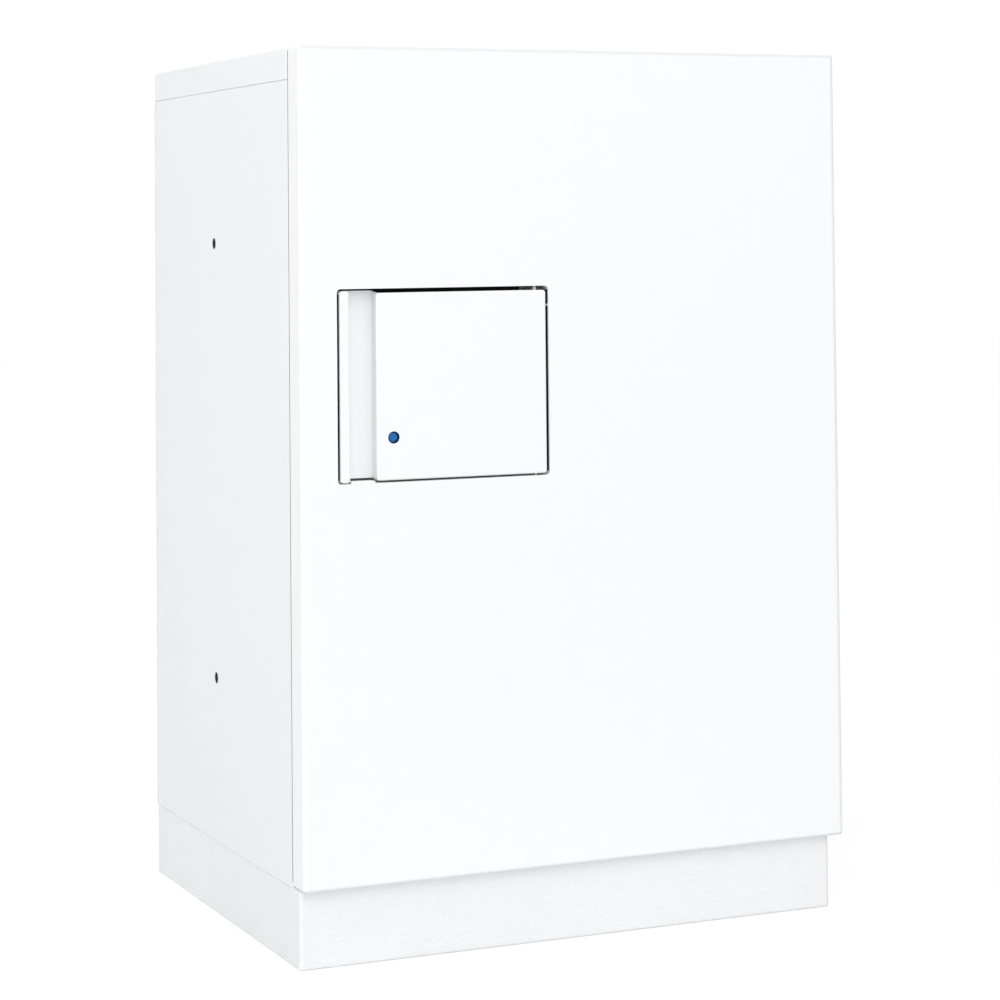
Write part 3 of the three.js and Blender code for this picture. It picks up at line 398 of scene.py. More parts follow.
class Sheet:
    def __init__(self, plane):
        self.bm = bmesh.new()
        self.f = AXES[plane]

    def ring(self, pts, w):
        return [self.bm.verts.new([c * MM for c in self.f(u, v, w)]) for u, v in pts]

    def bridge(self, a, b):
        n = len(a)
        for i in range(n):
            j = (i + 1) % n
            self.bm.faces.new((a[i], a[j], b[j], b[i]))

    def loft(self, rings):
        for a, b in zip(rings, rings[1:]):
            self.bridge(a, b)

    def fill(self, *loops):
        edges = []
        for loop in loops:
            n = len(loop)
            for i in range(n):
                a, b = loop[i], loop[(i + 1) % n]
                e = self.bm.edges.get((a, b)) or self.bm.edges.new((a, b))
                edges.append(e)
        return bmesh.ops.triangle_fill(self.bm, use_beauty=True, use_dissolve=False, edges=edges)

    def cut_window(self, lo, hi, planes):
        """Removes the faces whose middle lies in the box lo..hi, after cutting the mesh on the given planes."""
        for axis, value in planes:
            n = [0.0, 0.0, 0.0]
            n[axis] = 1.0
            co = [0.0, 0.0, 0.0]
            co[axis] = value * MM
            near = [f for f in self.bm.faces if self._near(f, lo, hi)]
            geom = set(near)
            for f in near:
                geom.update(f.verts)
                geom.update(f.edges)
            bmesh.ops.bisect_plane(self.bm, geom=list(geom), dist=1e-7, plane_co=co, plane_no=n)
        gone = []
        for f in self.bm.faces:
            c = f.calc_center_median() / MM
            if all(lo[k] < c[k] < hi[k] for k in range(3)):
                gone.append(f)
        bmesh.ops.delete(self.bm, geom=gone, context="FACES")

    @staticmethod
    def _near(f, lo, hi):
        xs = [v.co / MM for v in f.verts]
        for k in range(3):
            if max(x[k] for x in xs) < lo[k] - 0.01 or min(x[k] for x in xs) > hi[k] + 0.01:
                return False
        return True

    def face_out(self, point, direction):
        """Turns all normals so that the face nearest to the point looks along the direction."""
        bmesh.ops.recalc_face_normals(self.bm, faces=self.bm.faces[:])
        p = Vector([c * MM for c in point])
        f = min(self.bm.faces, key=lambda f: (f.calc_center_median() - p).length)
        if f.normal.dot(Vector(direction)) < 0:
            bmesh.ops.reverse_faces(self.bm, faces=self.bm.faces[:])

    def object(self, name, slot, body, smooth=True, weld=True):
        if weld:
            bmesh.ops.remove_doubles(self.bm, verts=self.bm.verts[:], dist=1e-6)
        me = bpy.data.meshes.new(name)
        self.bm.to_mesh(me)
        self.bm.free()
        o = bpy.data.objects.new(name, me)
        bpy.context.scene.collection.objects.link(o)
        if smooth:
            me.shade_smooth()
        finish_with(o, slot)
        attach(o, body)
        return o


def add_solidify(o, thickness, offset=-1.0):
    s = o.modifiers.new("sheet", "SOLIDIFY")
    s.thickness = thickness * MM
    s.offset = offset
    s.use_even_offset = True
    s.use_quality_normals = True
    s.use_rim = True
    return s


def add_edges(o, width, segments=2, angle=50):
    b = o.modifiers.new("edges", "BEVEL")
    b.width = width * MM
    b.segments = segments
    b.limit_method = "ANGLE"
    b.angle_limit = math.radians(angle)
    b.miter_outer = "MITER_ARC"
    b.use_clamp_overlap = True
    return b


def add_normals(o):
    w = o.modifiers.new("normals", "WEIGHTED_NORMAL")
    w.mode = "FACE_AREA_WITH_ANGLE"
    w.weight = 60
    w.keep_sharp = True
    return w


def pan_rings(s, u0, u1, v0, v1, corner, ru, rv, w0, depth, sign, rb=0.0, lip=0.0, n=6, steps=5):
    """Rings of a folded pan: the flat at w0, bends of radius ru (u edges) and rv (v edges), walls, then a rear lip."""
    ds = sorted({0.0, *(ru * (1 - math.cos(math.radians(90 * k / steps))) for k in range(steps + 1)),
                 *(rv * (1 - math.cos(math.radians(90 * k / steps))) for k in range(steps + 1))})
    ds = [d for i, d in enumerate(ds) if i == 0 or d - ds[i - 1] > 0.02]
    rings = []
    for d in ds:
        iu, iv = inset_at(ru, d), inset_at(rv, d)
        rr = max(corner - max(iu, iv), 0.15)
        rings.append(s.ring(rrect(u0 + iu, u1 - iu, v0 + iv, v1 - iv, rr, n), w0 + sign * d))
    if rb > 0:
        for k in range(4):
            a = math.radians(90 * k / 3)
            i = rb * (1 - math.cos(a))
            rings.append(s.ring(rrect(u0 + i, u1 - i, v0 + i, v1 - i, max(corner - i, 0.15), n), w0 + sign * (depth - rb * (1 - math.sin(a)))))
        rings.append(s.ring(rrect(u0 + lip, u1 - lip, v0 + lip, v1 - lip, max(corner - rb, 0.15), n), w0 + sign * depth))
    else:
        rings.append(s.ring(rrect(u0, u1, v0, v1, corner, n), w0 + sign * depth))
    s.loft(rings)
    return rings


# =============================================================== service door skin
skin_lo, skin_hi = mm_box("service_door_skin")
rev_lo, rev_hi = mm_box("compartment_reveal")
REVEAL_FLANGE = 10.0
CUT = (rev_lo[0] + REVEAL_FLANGE, rev_hi[0] - REVEAL_FLANGE, rev_lo[2] + REVEAL_FLANGE, rev_hi[2] - REVEAL_FLANGE)
ARM_Z = [mm_box("hinge_arm_lower")[0][2] + 18.0, mm_box("hinge_arm_upper")[0][2] + 18.0]
FRONT = skin_lo[1]
DOOR_REAR = skin_hi[1]
SHEET = 1.5

s = Sheet("xz_y")
rings = pan_rings(s, skin_lo[0], skin_hi[0], skin_lo[2], skin_hi[2], 3.6, 3.2, 3.2, FRONT, DOOR_REAR - FRONT, 1, rb=1.2, lip=12.0, n=6, steps=6)
hole = s.ring(rrect(*CUT, 4.0, 8), FRONT)
s.fill(rings[0], hole)
for z in ARM_Z:
    s.cut_window((skin_hi[0] - 14.2, FRONT + 2.6, z - 1.2), (skin_hi[0] + 1, DOOR_REAR + 1, z + 5.2),
                 [(2, z - 1.2), (2, z + 5.2), (1, FRONT + 2.6), (0, skin_hi[0] - 14.2)])
s.face_out((200, FRONT, 300), (0, -1, 0))
door_skin = s.object("service_door_panel", "door_powder_coat", "service_door")
add_solidify(door_skin, SHEET)
add_edges(door_skin, 0.35, 2, 55)
add_normals(door_skin)
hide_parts("service_door_skin")

# =============================================================== side panels
side_holes = [(27.5, 247.0), (27.5, 706.0)]


def side_panel(side):
    node = "left_side_panel" if side < 0 else "right_side_panel"
    lo, hi = mm_box(node)
    w0 = lo[0] if side < 0 else hi[0]
    inward = 1 if side < 0 else -1
    s = Sheet("yz_x")
    rings = pan_rings(s, lo[1], hi[1], lo[2], hi[2], 0.8, 2.6, 0.45, w0, hi[0] - lo[0], inward, n=3, steps=6)
    holes = [s.ring(circle(y, z, 6.1, 48), w0) for y, z in side_holes]
    s.fill(rings[0], *holes)
    if side < 0:
        s.cut_window((-287, lo[1] - 1, 493), (-278, lo[1] + 0.5, 533), [(0, -287), (0, -278), (2, 493), (2, 533)])
    else:
        for z in ARM_Z:
            s.cut_window((288.8, lo[1] - 1, z - 1), (297.2, lo[1] + 2, z + 5), [(0, 288.8), (0, 297.2), (2, z - 1), (2, z + 5)])
    s.face_out((w0, 0, 450), (inward * -1, 0, 0))
    o = s.object("left_side_sheet" if side < 0 else "right_side_sheet", "cabinet_powder_coat", "cabinet")
    add_solidify(o, SHEET)
    add_edges(o, 0.3, 2, 55)
    add_normals(o)
    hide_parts(node)
    return o


left_side = side_panel(-1)
right_side = side_panel(1)

# =============================================================== top cap
lo, hi = mm_box("top_cap")
s = Sheet("xy_z")
rings = pan_rings(s, lo[0], hi[0], lo[1], hi[1], 3.6, 2.6, 2.6, hi[2], hi[2] - lo[2], -1, rb=0.5, lip=15.0, n=6, steps=6)
s.fill(rings[0])
s.face_out((0, 0, hi[2]), (0, 0, 1))
top_cap = s.object("top_cap_sheet", "cabinet_powder_coat", "cabinet")
add_solidify(top_cap, SHEET)
add_edges(top_cap, 0.3, 2, 55)
add_normals(top_cap)
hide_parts("top_cap")

# =============================================================== plinth
lo, hi = mm_box("plinth")
s = Sheet("xy_z")


def plinth_ring(i, z, corner):
    return s.ring(rrect(lo[0] + i, hi[0] - i, lo[1] + i, hi[1] - i, corner, 8), z)


PR, FOOT_R, TOP_R = 4.2, 1.6, 0.5
rings = [plinth_ring(25, 0.0, 1.0)]
for k in range(5):
    a = math.radians(90 * k / 4)
    rings.append(plinth_ring(FOOT_R * (1 - math.sin(a)), FOOT_R * (1 - math.cos(a)), PR - FOOT_R * (1 - math.sin(a))))
for k in range(5):
    a = math.radians(90 * k / 4)
    rings.append(plinth_ring(TOP_R * (1 - math.cos(a)), hi[2] - TOP_R * (1 - math.sin(a)), PR - TOP_R * (1 - math.cos(a))))
rings.append(plinth_ring(25, hi[2], 1.0))
s.loft(rings)
s.face_out((0, lo[1], 40), (0, -1, 0))
plinth = s.object("plinth_frame", "plinth_powder_coat", "cabinet")
add_solidify(plinth, 2.0)
add_edges(plinth, 0.3, 2, 55)
add_normals(plinth)
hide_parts("plinth")

# =============================================================== back panel
lo, hi = mm_box("back_panel")
s = Sheet("xz_y")
e = 0.35
front_r = s.ring(rrect(lo[0], hi[0], lo[2], hi[2], 1.2, 4), lo[1])
side_r = s.ring(rrect(lo[0], hi[0], lo[2], hi[2], 1.2, 4), hi[1] - e)
back_r = s.ring(rrect(lo[0] + e, hi[0] - e, lo[2] + e, hi[2] - e, 0.9, 4), hi[1])
s.loft([front_r, side_r, back_r])
windows = [(x - 45, x + 45, z0 + row * 14, z0 + row * 14 + 5, 2.45) for z0 in (150, 720) for row in range(4) for x in (-60, 60)]
inlet_lo, inlet_hi = mm_box("mains_inlet")
INLET = ((inlet_lo[0] + inlet_hi[0]) / 2, (inlet_lo[2] + inlet_hi[2]) / 2)
windows.append((INLET[0] - 14, INLET[0] + 14, INLET[1] - 10, INLET[1] + 10, 2.0))
front_h, back_h = [], []
for x0, x1, z0, z1, r in windows:
    a = s.ring(rrect(x0, x1, z0, z1, r, 6), lo[1])
    b = s.ring(rrect(x0, x1, z0, z1, r, 6), hi[1] - e)
    c = s.ring(rrect(x0 - e, x1 + e, z0 - e, z1 + e, r + e, 6), hi[1])
    s.loft([a, b, c])
    front_h.append(a)
    back_h.append(c)
s.fill(front_r, *front_h)
s.fill(back_r, *back_h)
s.face_out((200, hi[1], 300), (0, 1, 0))
back_panel = s.object("back_panel_sheet", "cabinet_powder_coat", "cabinet")
add_normals(back_panel)
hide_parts("back_panel")

# =============================================================== user door
shell_lo, shell_hi = mm_box("user_door_shell")
UL, UR, UB, UT = shell_lo[0], shell_hi[0], shell_lo[2], shell_hi[2]
UREAR = shell_hi[1]
STRIP_R = UL + 10.4
CHAN_R = UL + 38.5
FLOOR = FRONT + 15.0
# the strip (s), the channel (c) and the face (f) end at different heights
TOP = {"s": CUT[3] - 2.0, "c": CUT[3] - 2.0, "f": CUT[3] - 4.2}
BOTTOM = {"s": CUT[2] + 1.0, "c": CUT[2] + 4.3, "f": CUT[2] + 2.0}
R_STRIP, R_FACE_L, R_FACE_R, R_EDGE = 3.0, 2.4, 2.8, 2.0


def door_profile(d):
    """Outer section of the user door at distance d from its end: (x, y, kind) from the left rear to the right rear."""
    i2, i3 = inset_at(R_EDGE, d), inset_at(R_STRIP, d)
    il, ir = inset_at(R_FACE_L, d), inset_at(R_FACE_R, d)
    yf = FRONT + i2
    r = R_EDGE
    pts = [(UL + i3, UREAR, "s"), (UL + i3, FRONT + 15.0, "s"), (UL + i3, FRONT + 7.0, "s"), (UL + i3, max(yf + r, FRONT + 4.05), "s")]
    n = 5

    def arc(cx, cy, rr, a0, a1, kind):
        return [(cx + rr * math.cos(math.radians(a0 + (a1 - a0) * k / n)), cy + rr * math.sin(math.radians(a0 + (a1 - a0) * k / n)), kind) for k in range(n + 1)]

    # strip: left bend, flat, right bend
    x0, x1 = UL + i3, STRIP_R - i3
    pts += arc(x0 + r, yf + r, r, 180, 270, "s")
    pts += arc(x1 - r, yf + r, r, 270, 360, "s")
    # channel: left wall, left fillet, floor, right fillet, right wall
    f = 1.3
    pts += [(STRIP_R + f * (1 - math.cos(math.radians(a))), FLOOR - f * (1 - math.sin(math.radians(a))), "c") for a in (0, 30, 60, 90)]
    pts += [((STRIP_R + CHAN_R) / 2, FLOOR, "c")]
    pts += [(CHAN_R - f * (1 - math.sin(math.radians(a))), FLOOR - f * (1 - math.cos(math.radians(a))), "c") for a in (0, 30, 60, 90)]
    # face: left bend, flat, right bend
    x0, x1 = CHAN_R + il, UR - ir
    pts += arc(x0 + r, yf + r, r, 180, 270, "f")
    pts += arc(x1 - r, yf + r, r, 270, 360, "f")
    pts += [(UR - ir, max(yf + r, FRONT + 4.05), "f"), (UR - ir, UREAR, "f")]
    return pts


bolt_z0, bolt_z1 = 558.5, 571.5
s = Sheet("xz_y")
bm = s.bm
steps = [R_STRIP * (1 - math.cos(math.radians(90 * k / 7))) for k in range(8)]
rows = []


def row_at(d, from_top):
    prof = door_profile(d)
    verts = []
    for i, (x, y, kind) in enumerate(prof):
        if from_top is None:
            z = d_mid
        elif from_top:
            z = TOP[kind] - d
        else:
            z = BOTTOM[kind] + d
        verts.append(bm.verts.new((x * MM, y * MM, z * MM)))
    return verts


for d in steps:
    rows.append(row_at(d, False))
d_mid = bolt_z0
prof_mid = door_profile(50.0)
for zz in (bolt_z0, bolt_z1):
    d_mid = zz
    rows.append([bm.verts.new((x * MM, y * MM, zz * MM)) for x, y, k in prof_mid])
for d in reversed(steps):
    rows.append(row_at(d, True))
kinds = [k for _, _, k in prof_mid]
n_prof = len(prof_mid)
face_flat = [i for i in range(n_prof - 1) if kinds[i] == "f" and kinds[i + 1] == "f" and abs(prof_mid[i][1] - FRONT) < 1e-6 and abs(prof_mid[i + 1][1] - FRONT) < 1e-6 and prof_mid[i + 1][0] - prof_mid[i][0] > 50]
fi = face_flat[0]
first_flat, last_flat = len(steps) - 1, len(rows) - len(steps)
pocket_faces = []
for ri, (a, b) in enumerate(zip(rows, rows[1:])):
    for i in range(n_prof - 1):
        if i == fi and first_flat <= ri < last_flat:
            continue
        face = bm.faces.new((a[i], a[i + 1], b[i + 1], b[i]))
        if abs(a[i].co.z / MM - bolt_z0) < 1e-3 and abs(b[i].co.z / MM - bolt_z1) < 1e-3 and i == 1:
            pocket_faces.append(face)
# flat of the face with the round hole for the button
outer = [rows[r][fi] for r in range(first_flat, last_flat + 1)] + [rows[r][fi + 1] for r in range(last_flat, first_flat - 1, -1)]
HOLE_R = 6.0
h0 = s.ring(circle(BTN_X, BTN_Z, HOLE_R + 0.3, 64), FRONT)
h1 = s.ring(circle(BTN_X, BTN_Z, HOLE_R + 0.08, 64), FRONT + 0.08)
h2 = s.ring(circle(BTN_X, BTN_Z, HOLE_R, 64), FRONT + 0.3)
h3 = s.ring(circle(BTN_X, BTN_Z, HOLE_R, 64), FRONT + 14.2)
s.fill(outer, h0)
s.loft([h0, h1, h2, h3])
s.fill(h3)
# ends: straight back from the end rows to the rear plane
rear_rows = []
for row in (rows[0], rows[-1]):
    back = []
    for v in row:
        if abs(v.co.y / MM - UREAR) < 1e-6:
            back.append(v)
        else:
            back.append(bm.verts.new((v.co.x, UREAR * MM, v.co.z)))
    for i in range(n_prof - 1):
        vs = [row[i], row[i + 1], back[i + 1], back[i]]
        uniq = []
        for v in vs:
            if v not in uniq:
                uniq.append(v)
        if len(uniq) >= 3:
            bm.faces.new(uniq)
    rear_rows.append(back)
rear_loop = list(rear_rows[0]) + [r[-1] for r in rows[1:-1]] + list(reversed(rear_rows[1])) + [r[0] for r in reversed(rows[1:-1])]
inner = s.ring(rrect(UL + 3.2, UR - 1.6, BOTTOM["c"] + 1.6, TOP["f"] - 1.6, 1.2, 4), UREAR)
inner2 = s.ring(rrect(UL + 3.2, UR - 1.6, BOTTOM["c"] + 1.6, TOP["f"] - 1.6, 1.2, 4), UREAR - 2.2)
s.fill(rear_loop, inner)
s.loft([inner, inner2])
s.fill(inner2)
# pocket for the lock bolt in the left edge
for f in pocket_faces:
    r = bmesh.ops.extrude_discrete_faces(bm, faces=[f])
    for nf in r["faces"]:
        for v in nf.verts:
            v.co.x += 8.0 * MM
s.face_out((-100, FRONT, 600), (0, -1, 0))
user_door = s.object("user_door_panel", "door_powder_coat", "user_door")
# the grip channel's right wall gets the darker copy of the coat: painted shade
user_door.data.materials.append(CHANNEL_WALL_SHADE)
for poly in user_door.data.polygons:
    c = poly.center / MM
    if abs(poly.normal.x) > 0.8 and abs(c.x - CHAN_R) < 0.3 and FRONT + R_EDGE - 0.1 < c.y < FLOOR:
        poly.material_index = 1
add_normals(user_door)
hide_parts("user_door_shell")

# =============================================================== button: bezel ring and lens
def turned_y(name, slot, body, cx, cz, profile, n=64, cap=True):
    """A body turned about a Y axis through (cx, cz); the profile lists (radius, y) from the front middle outwards."""
    s = Sheet("xz_y")
    rings, centre = [], None
    for r, y in profile:
        if r < 1e-6:
            v = s.bm.verts.new((cx * MM, y * MM, cz * MM))
            rings.append([v])
        else:
            rings.append(s.ring(circle(cx, cz, r, n), y))
    for a, b in zip(rings, rings[1:]):
        if len(a) == 1 and len(b) > 1:
            for i in range(n):
                s.bm.faces.new((a[0], b[i], b[(i + 1) % n]))
        elif len(b) == 1 and len(a) > 1:
            for i in range(n):
                s.bm.faces.new((b[0], a[(i + 1) % n], a[i]))
        else:
            s.bridge(a, b)
    bmesh.ops.recalc_face_normals(s.bm, faces=s.bm.faces[:])
    o = s.object(name, slot, body)
    return o


y_lens = mm_box("blue_button")[0][1]
lens_back = mm_box("blue_button")[1][1]
dome = 0.7
prof = [(0.0, y_lens)]
for k in range(1, 9):
    r = 4.9 * k / 8
    prof.append((r, y_lens + dome * (k / 8) ** 2 * 0.6))
prof += [(5.2, y_lens + 0.62), (5.38, y_lens + 0.95), (5.42, y_lens + 1.4), (5.42, lens_back - 4.0), (5.2, lens_back - 3.8), (3.0, lens_back - 3.8), (3.0, lens_back - 0.2), (2.8, lens_back), (0.0, lens_back)]
lens = turned_y("blue_push_button", "blue_lens", "blue_button", BTN_X, BTN_Z, prof)
add_normals(lens)
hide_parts("blue_button")

s = Sheet("xz_y")
ring_prof = [(5.97, FRONT + 0.3), (5.86, FRONT + 0.12), (5.6, FRONT + 0.12), (5.46, FRONT + 0.3), (5.46, FRONT + 9.0), (5.97, FRONT + 9.0)]
rr = [s.ring(circle(BTN_X, BTN_Z, r, 64), y) for r, y in ring_prof]
s.loft(rr + [rr[0]])
bmesh.ops.recalc_face_normals(s.bm, faces=s.bm.faces[:])
bezel = s.object("button_bezel_ring", "dark_plastic", "user_door")
bezel.data.materials.clear()
bezel.data.materials.append(NAVY)
add_normals(bezel)
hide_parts("button_sleeve")

# =============================================================== kept CAD nodes: weld, soften edges, finish
BEVELS = {
    "compartment_reveal": 0.3, "compartment_tub": 0.4, "phone_tray": 0.6, "equipment_shelf": 0.35,
    "usb_charger": 0.8, "power_supply": 0.4, "controller_base": 0.6, "controller_cover": 0.6,
    "mains_inlet": 0.4, "lock_case": 0.4,
}
for name, o in NODES.items():
    if o.hide_render:
        continue
    finish_with(o, SLOT_OF[name])
    w = o.modifiers.new("weld", "WELD")
    w.merge_threshold = 1e-6
    d = o.modifiers.new("flat", "DECIMATE")
    d.decimate_type = "DISSOLVE"
    d.angle_limit = math.radians(0.3)
    add_edges(o, BEVELS.get(name, 0.25), 2, 38)
    add_normals(o)
    o.data.shade_smooth()

# =============================================================== small parts that ride on the bodies
def box_piece(name, slot, body, x0, x1, y0, y1, z0, z1, edge=0.2, segments=2):
    bm = bmesh.new()
    bmesh.ops.create_cube(bm, size=1.0)
    for v in bm.verts:
        v.co = ((x0 + x1) / 2 + v.co.x * (x1 - x0), (y0 + y1) / 2 + v.co.y * (y1 - y0), (z0 + z1) / 2 + v.co.z * (z1 - z0))
        v.co *= MM
    me = bpy.data.meshes.new(name)
    bm.to_mesh(me)
    bm.free()
    o = bpy.data.objects.new(name, me)
    sc.collection.objects.link(o)
    me.shade_smooth()
    finish_with(o, slot)
    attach(o, body)
    if edge > 0:
        add_edges(o, edge, segments, 38)
    add_normals(o)
    return o


def turned(name, slot, body, axis, at, profile, n=32):
    """A body turned about an axis through the point at; the profile lists (radius, height along the axis)."""
    bm = bmesh.new()
    loops = []
    for r, h in profile:
        k = 1 if r < 1e-6 else n
        loop = []
        for i in range(k):
            a = 2 * math.pi * i / n
            u, v = r * math.cos(a), r * math.sin(a)
            p = {"x": (h, u, v), "y": (u, h, v), "z": (u, v, h)}[axis]
            loop.append(bm.verts.new([(c + q) * MM for c, q in zip(at, p)]))
        loops.append(loop)
    for a, b in zip(loops, loops[1:]):
        for i in range(n):
            j = (i + 1) % n
            if len(a) == 1:
                bm.faces.new((a[0], b[i], b[j]))
            elif len(b) == 1:
                bm.faces.new((a[i], a[j], b[0]))
            else:
                bm.faces.new((a[i], a[j], b[j], b[i]))
    bmesh.ops.recalc_face_normals(bm, faces=bm.faces[:])
    me = bpy.data.meshes.new(name)
    bm.to_mesh(me)
    bm.free()
    o = bpy.data.objects.new(name, me)
    sc.collection.objects.link(o)
    me.shade_smooth()
    finish_with(o, slot)
    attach(o, body)
    add_normals(o)
    return o


sc = bpy.context.scene
# black sheets on the inside of the cut-out: painted shade that darkens the gaps round the user door, open at the lock
# bolt
GAP_SHADE_T = 0.45
GAP_SHADE_Y0, GAP_SHADE_Y1 = FRONT + 2.4, FRONT + 18.0
box_piece("gap_shade_left_low", "black_rubber", "service_door", CUT[0] + 0.02, CUT[0] + GAP_SHADE_T, GAP_SHADE_Y0, GAP_SHADE_Y1, CUT[2] + 4.0, bolt_z0 - 0.5, 0.12)
box_piece("gap_shade_left_up", "black_rubber", "service_door", CUT[0] + 0.02, CUT[0] + GAP_SHADE_T, GAP_SHADE_Y0, GAP_SHADE_Y1, bolt_z1 + 0.5, CUT[3] - 4.0, 0.12)
box_piece("gap_shade_right", "black_rubber", "service_door", CUT[1] - GAP_SHADE_T, CUT[1] - 0.02, GAP_SHADE_Y0, GAP_SHADE_Y1, CUT[2] + 4.0, CUT[3] - 4.0, 0.12)
box_piece("gap_shade_top_right", "black_rubber", "service_door", CHAN_R, CUT[1] - 4.0, GAP_SHADE_Y0 + 2.0, GAP_SHADE_Y1, CUT[3] - GAP_SHADE_T, CUT[3] - 0.02, 0.12)
box_piece("gap_shade_top_left", "black_rubber", "service_door", CUT[0] + 4.0, CHAN_R, FRONT + 15.5, FRONT + 30.0, CUT[3] - GAP_SHADE_T, CUT[3] - 0.02, 0.12)
# the user door carries its own black sheet on its free edge: painted shade in the gap
box_piece("door_edge_shade_low", "black_rubber", "user_door", UL - 0.35, UL + 0.3, FRONT + 2.7, UREAR - 0.4, BOTTOM["s"] + 3.2, bolt_z0 - 0.5, 0.12)
box_piece("door_edge_shade_up", "black_rubber", "user_door", UL - 0.35, UL + 0.3, FRONT + 2.7, UREAR - 0.4, bolt_z1 + 0.5, TOP["s"] - 3.2, 0.12)
# in front of the lock bolt both black sheets of painted shade run through
box_piece("gap_shade_left_mid", "black_rubber", "service_door", CUT[0] + 0.02, CUT[0] + GAP_SHADE_T, GAP_SHADE_Y0, FRONT + 7.0, bolt_z0 - 0.45, bolt_z1 + 0.45, 0.0)
box_piece("door_edge_shade_mid", "black_rubber", "user_door", UL - 0.35, UL + 0.3, FRONT + 2.7, FRONT + 6.8, bolt_z0 - 0.45, bolt_z1 + 0.45, 0.0)
# white sill of the cut-out under the grip channel
box_piece("reveal_sill", "door_powder_coat", "service_door", STRIP_R + 1.3, CHAN_R - 1.7, FRONT + 1.6, FRONT + 14.0, CUT[2] - 0.2, CUT[2] + 2.2, 0.5, 3)
# black sheet behind the top of the user door: painted shade in the gap above it
box_piece("compartment_gap_shade_top", "black_rubber", "service_door", CUT[0] + 6.5, -59.0, UREAR + 0.4, UREAR + 2.8, CUT[3] - 7.0, CUT[3] - 0.05, 0.3)
# collar of the upper pivot, and a light clip on the right black sheet of painted shade
pin_lo, pin_hi = mm_box("pivot_pin_upper")
PIN_X, PIN_Y = (pin_lo[0] + pin_hi[0]) / 2, (pin_lo[1] + pin_hi[1]) / 2
turned("pivot_collar", "nylon", "user_door", "z", (PIN_X, PIN_Y, 0.0),
       [(0.0, TOP["f"] - 0.3), (1.95, TOP["f"] - 0.3), (1.95, TOP["f"] + 2.6), (1.7, TOP["f"] + 2.85), (0.0, TOP["f"] + 2.85)])
box_piece("cut_out_edge_clip", "nylon", "service_door", CUT[1] - 1.0, CUT[1] - 0.02, FRONT + 0.9, FRONT + 9.0, 640.0, 642.0, 0.3)
# black strips on the door's rear lip: painted shade that darkens the gap between door and cabinet, open at the two
# buffers and at the hinge arms
GY0, GY1 = DOOR_REAR - 0.05, DOOR_REAR + 2.0
door_gap_shades = [
    (skin_lo[0] + 0.48, -291.0, skin_lo[2] + 5.0, skin_hi[2] - 3.0),
    (-290.9, -276.0, skin_hi[2] - 10.5, skin_hi[2] - 1.2), (-264.0, 290.0, skin_hi[2] - 10.5, skin_hi[2] - 1.2),
    (-290.9, -276.0, skin_lo[2] + 1.2, skin_lo[2] + 10.0), (-264.0, 290.0, skin_lo[2] + 1.2, skin_lo[2] + 10.0),
    (288.4, 292.8, 180.0, 762.0), (288.4, 292.8, 820.0, 888.0), (288.4, 292.8, 90.0, 124.0),
]
for i, (x0, x1, z0, z1) in enumerate(door_gap_shades):
    box_piece("door_gasket_%d" % i, "black_rubber", "service_door", x0, x1, GY0, GY1, z0, z1, 0.35)



def merged(name, slot, body, parts):
    """One object from the meshes of several pieces made with box_piece or turned, without their modifiers; the pieces
    are removed.
    """
    first = parts[0]
    bm = bmesh.new()
    for o in parts:
        bm.from_mesh(o.data)
    me = bpy.data.meshes.new(name)
    bm.to_mesh(me)
    bm.free()
    o = bpy.data.objects.new(name, me)
    sc.collection.objects.link(o)
    me.shade_smooth()
    finish_with(o, slot)
    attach(o, body)
    for q in parts:
        bpy.data.objects.remove(q)
    return o


def screw_profile(r, h, sign, recess=0.9):
    """Pan head with a round socket: its flat back at 0, the head on the side given by sign."""
    return [(0.0, -0.3 * sign), (r, -0.3 * sign), (r, h * 0.45 * sign), (r * 0.9, h * 0.8 * sign), (r * 0.72, h * sign),
            (r * 0.42, h * sign), (r * 0.36, (h - 0.15) * sign), (r * 0.34, (h - recess) * sign), (0.0, (h - recess) * sign)]


def screws(name, body, axis, sign, spots, r=3.4, h=1.9):
    parts = [turned("%s_%02d" % (name, i), "bright_steel", body, axis, at, screw_profile(r, h, sign), 24) for i, at in enumerate(spots)]
    o = merged(name, "bright_steel", body, parts)
    add_normals(o)
    return o


screws("back_panel_screws", "cabinet", "y", 1, [(x, 250.0, z) for x in (-287.5, 287.5) for z in (100, 290, 480, 670, 852)] + [(x, 250.0, 86.0) for x in (-150, 0, 150)])
LINER_REAR = mm_box("service_door_liner")[1][1]
screws("liner_screws", "service_door", "y", 1, [(x, LINER_REAR, z) for x in (-290.5, 100.0, 140.0) for z in (110, 300, 450, 700, 868)], 2.8, 1.3)
SHELF_TOP = mm_box("equipment_shelf")[1][2]
screws("shelf_screws", "cabinet", "z", 1, [(x, y, SHELF_TOP) for x in (-284.0, 284.0) for y in (-150.0, 20.0, 190.0)], 3.4, 1.9)

# white glide strip between the plinth and the service door
box_piece("plinth_glide_strip", "plinth_powder_coat", "cabinet", -299.6, 288.0, -237.4, -214.8, 74.9, 76.25, 0.3)

# blind plugs behind the link holes of both side panels
for i, (side, (hy, hz)) in enumerate((sd, h) for sd in (-1, 1) for h in side_holes):
    x = side * 298.45
    turned("link_plug_%d" % (i + 1), "black_rubber", "cabinet", "x", (x, hy, hz),
           [(0.0, side * 0.7), (4.6, side * 0.8), (5.7, side * 1.1), (5.85, side * 0.9), (5.85, -side * 0.15), (9.0, -side * 0.15), (9.0, -side * 1.6), (0.0, -side * 2.4)], 40)

# ribbed mats in the two pockets of the phone tray
tray_lo, tray_hi = mm_box("phone_tray")
MAT_Z = tray_lo[2] + 4.0


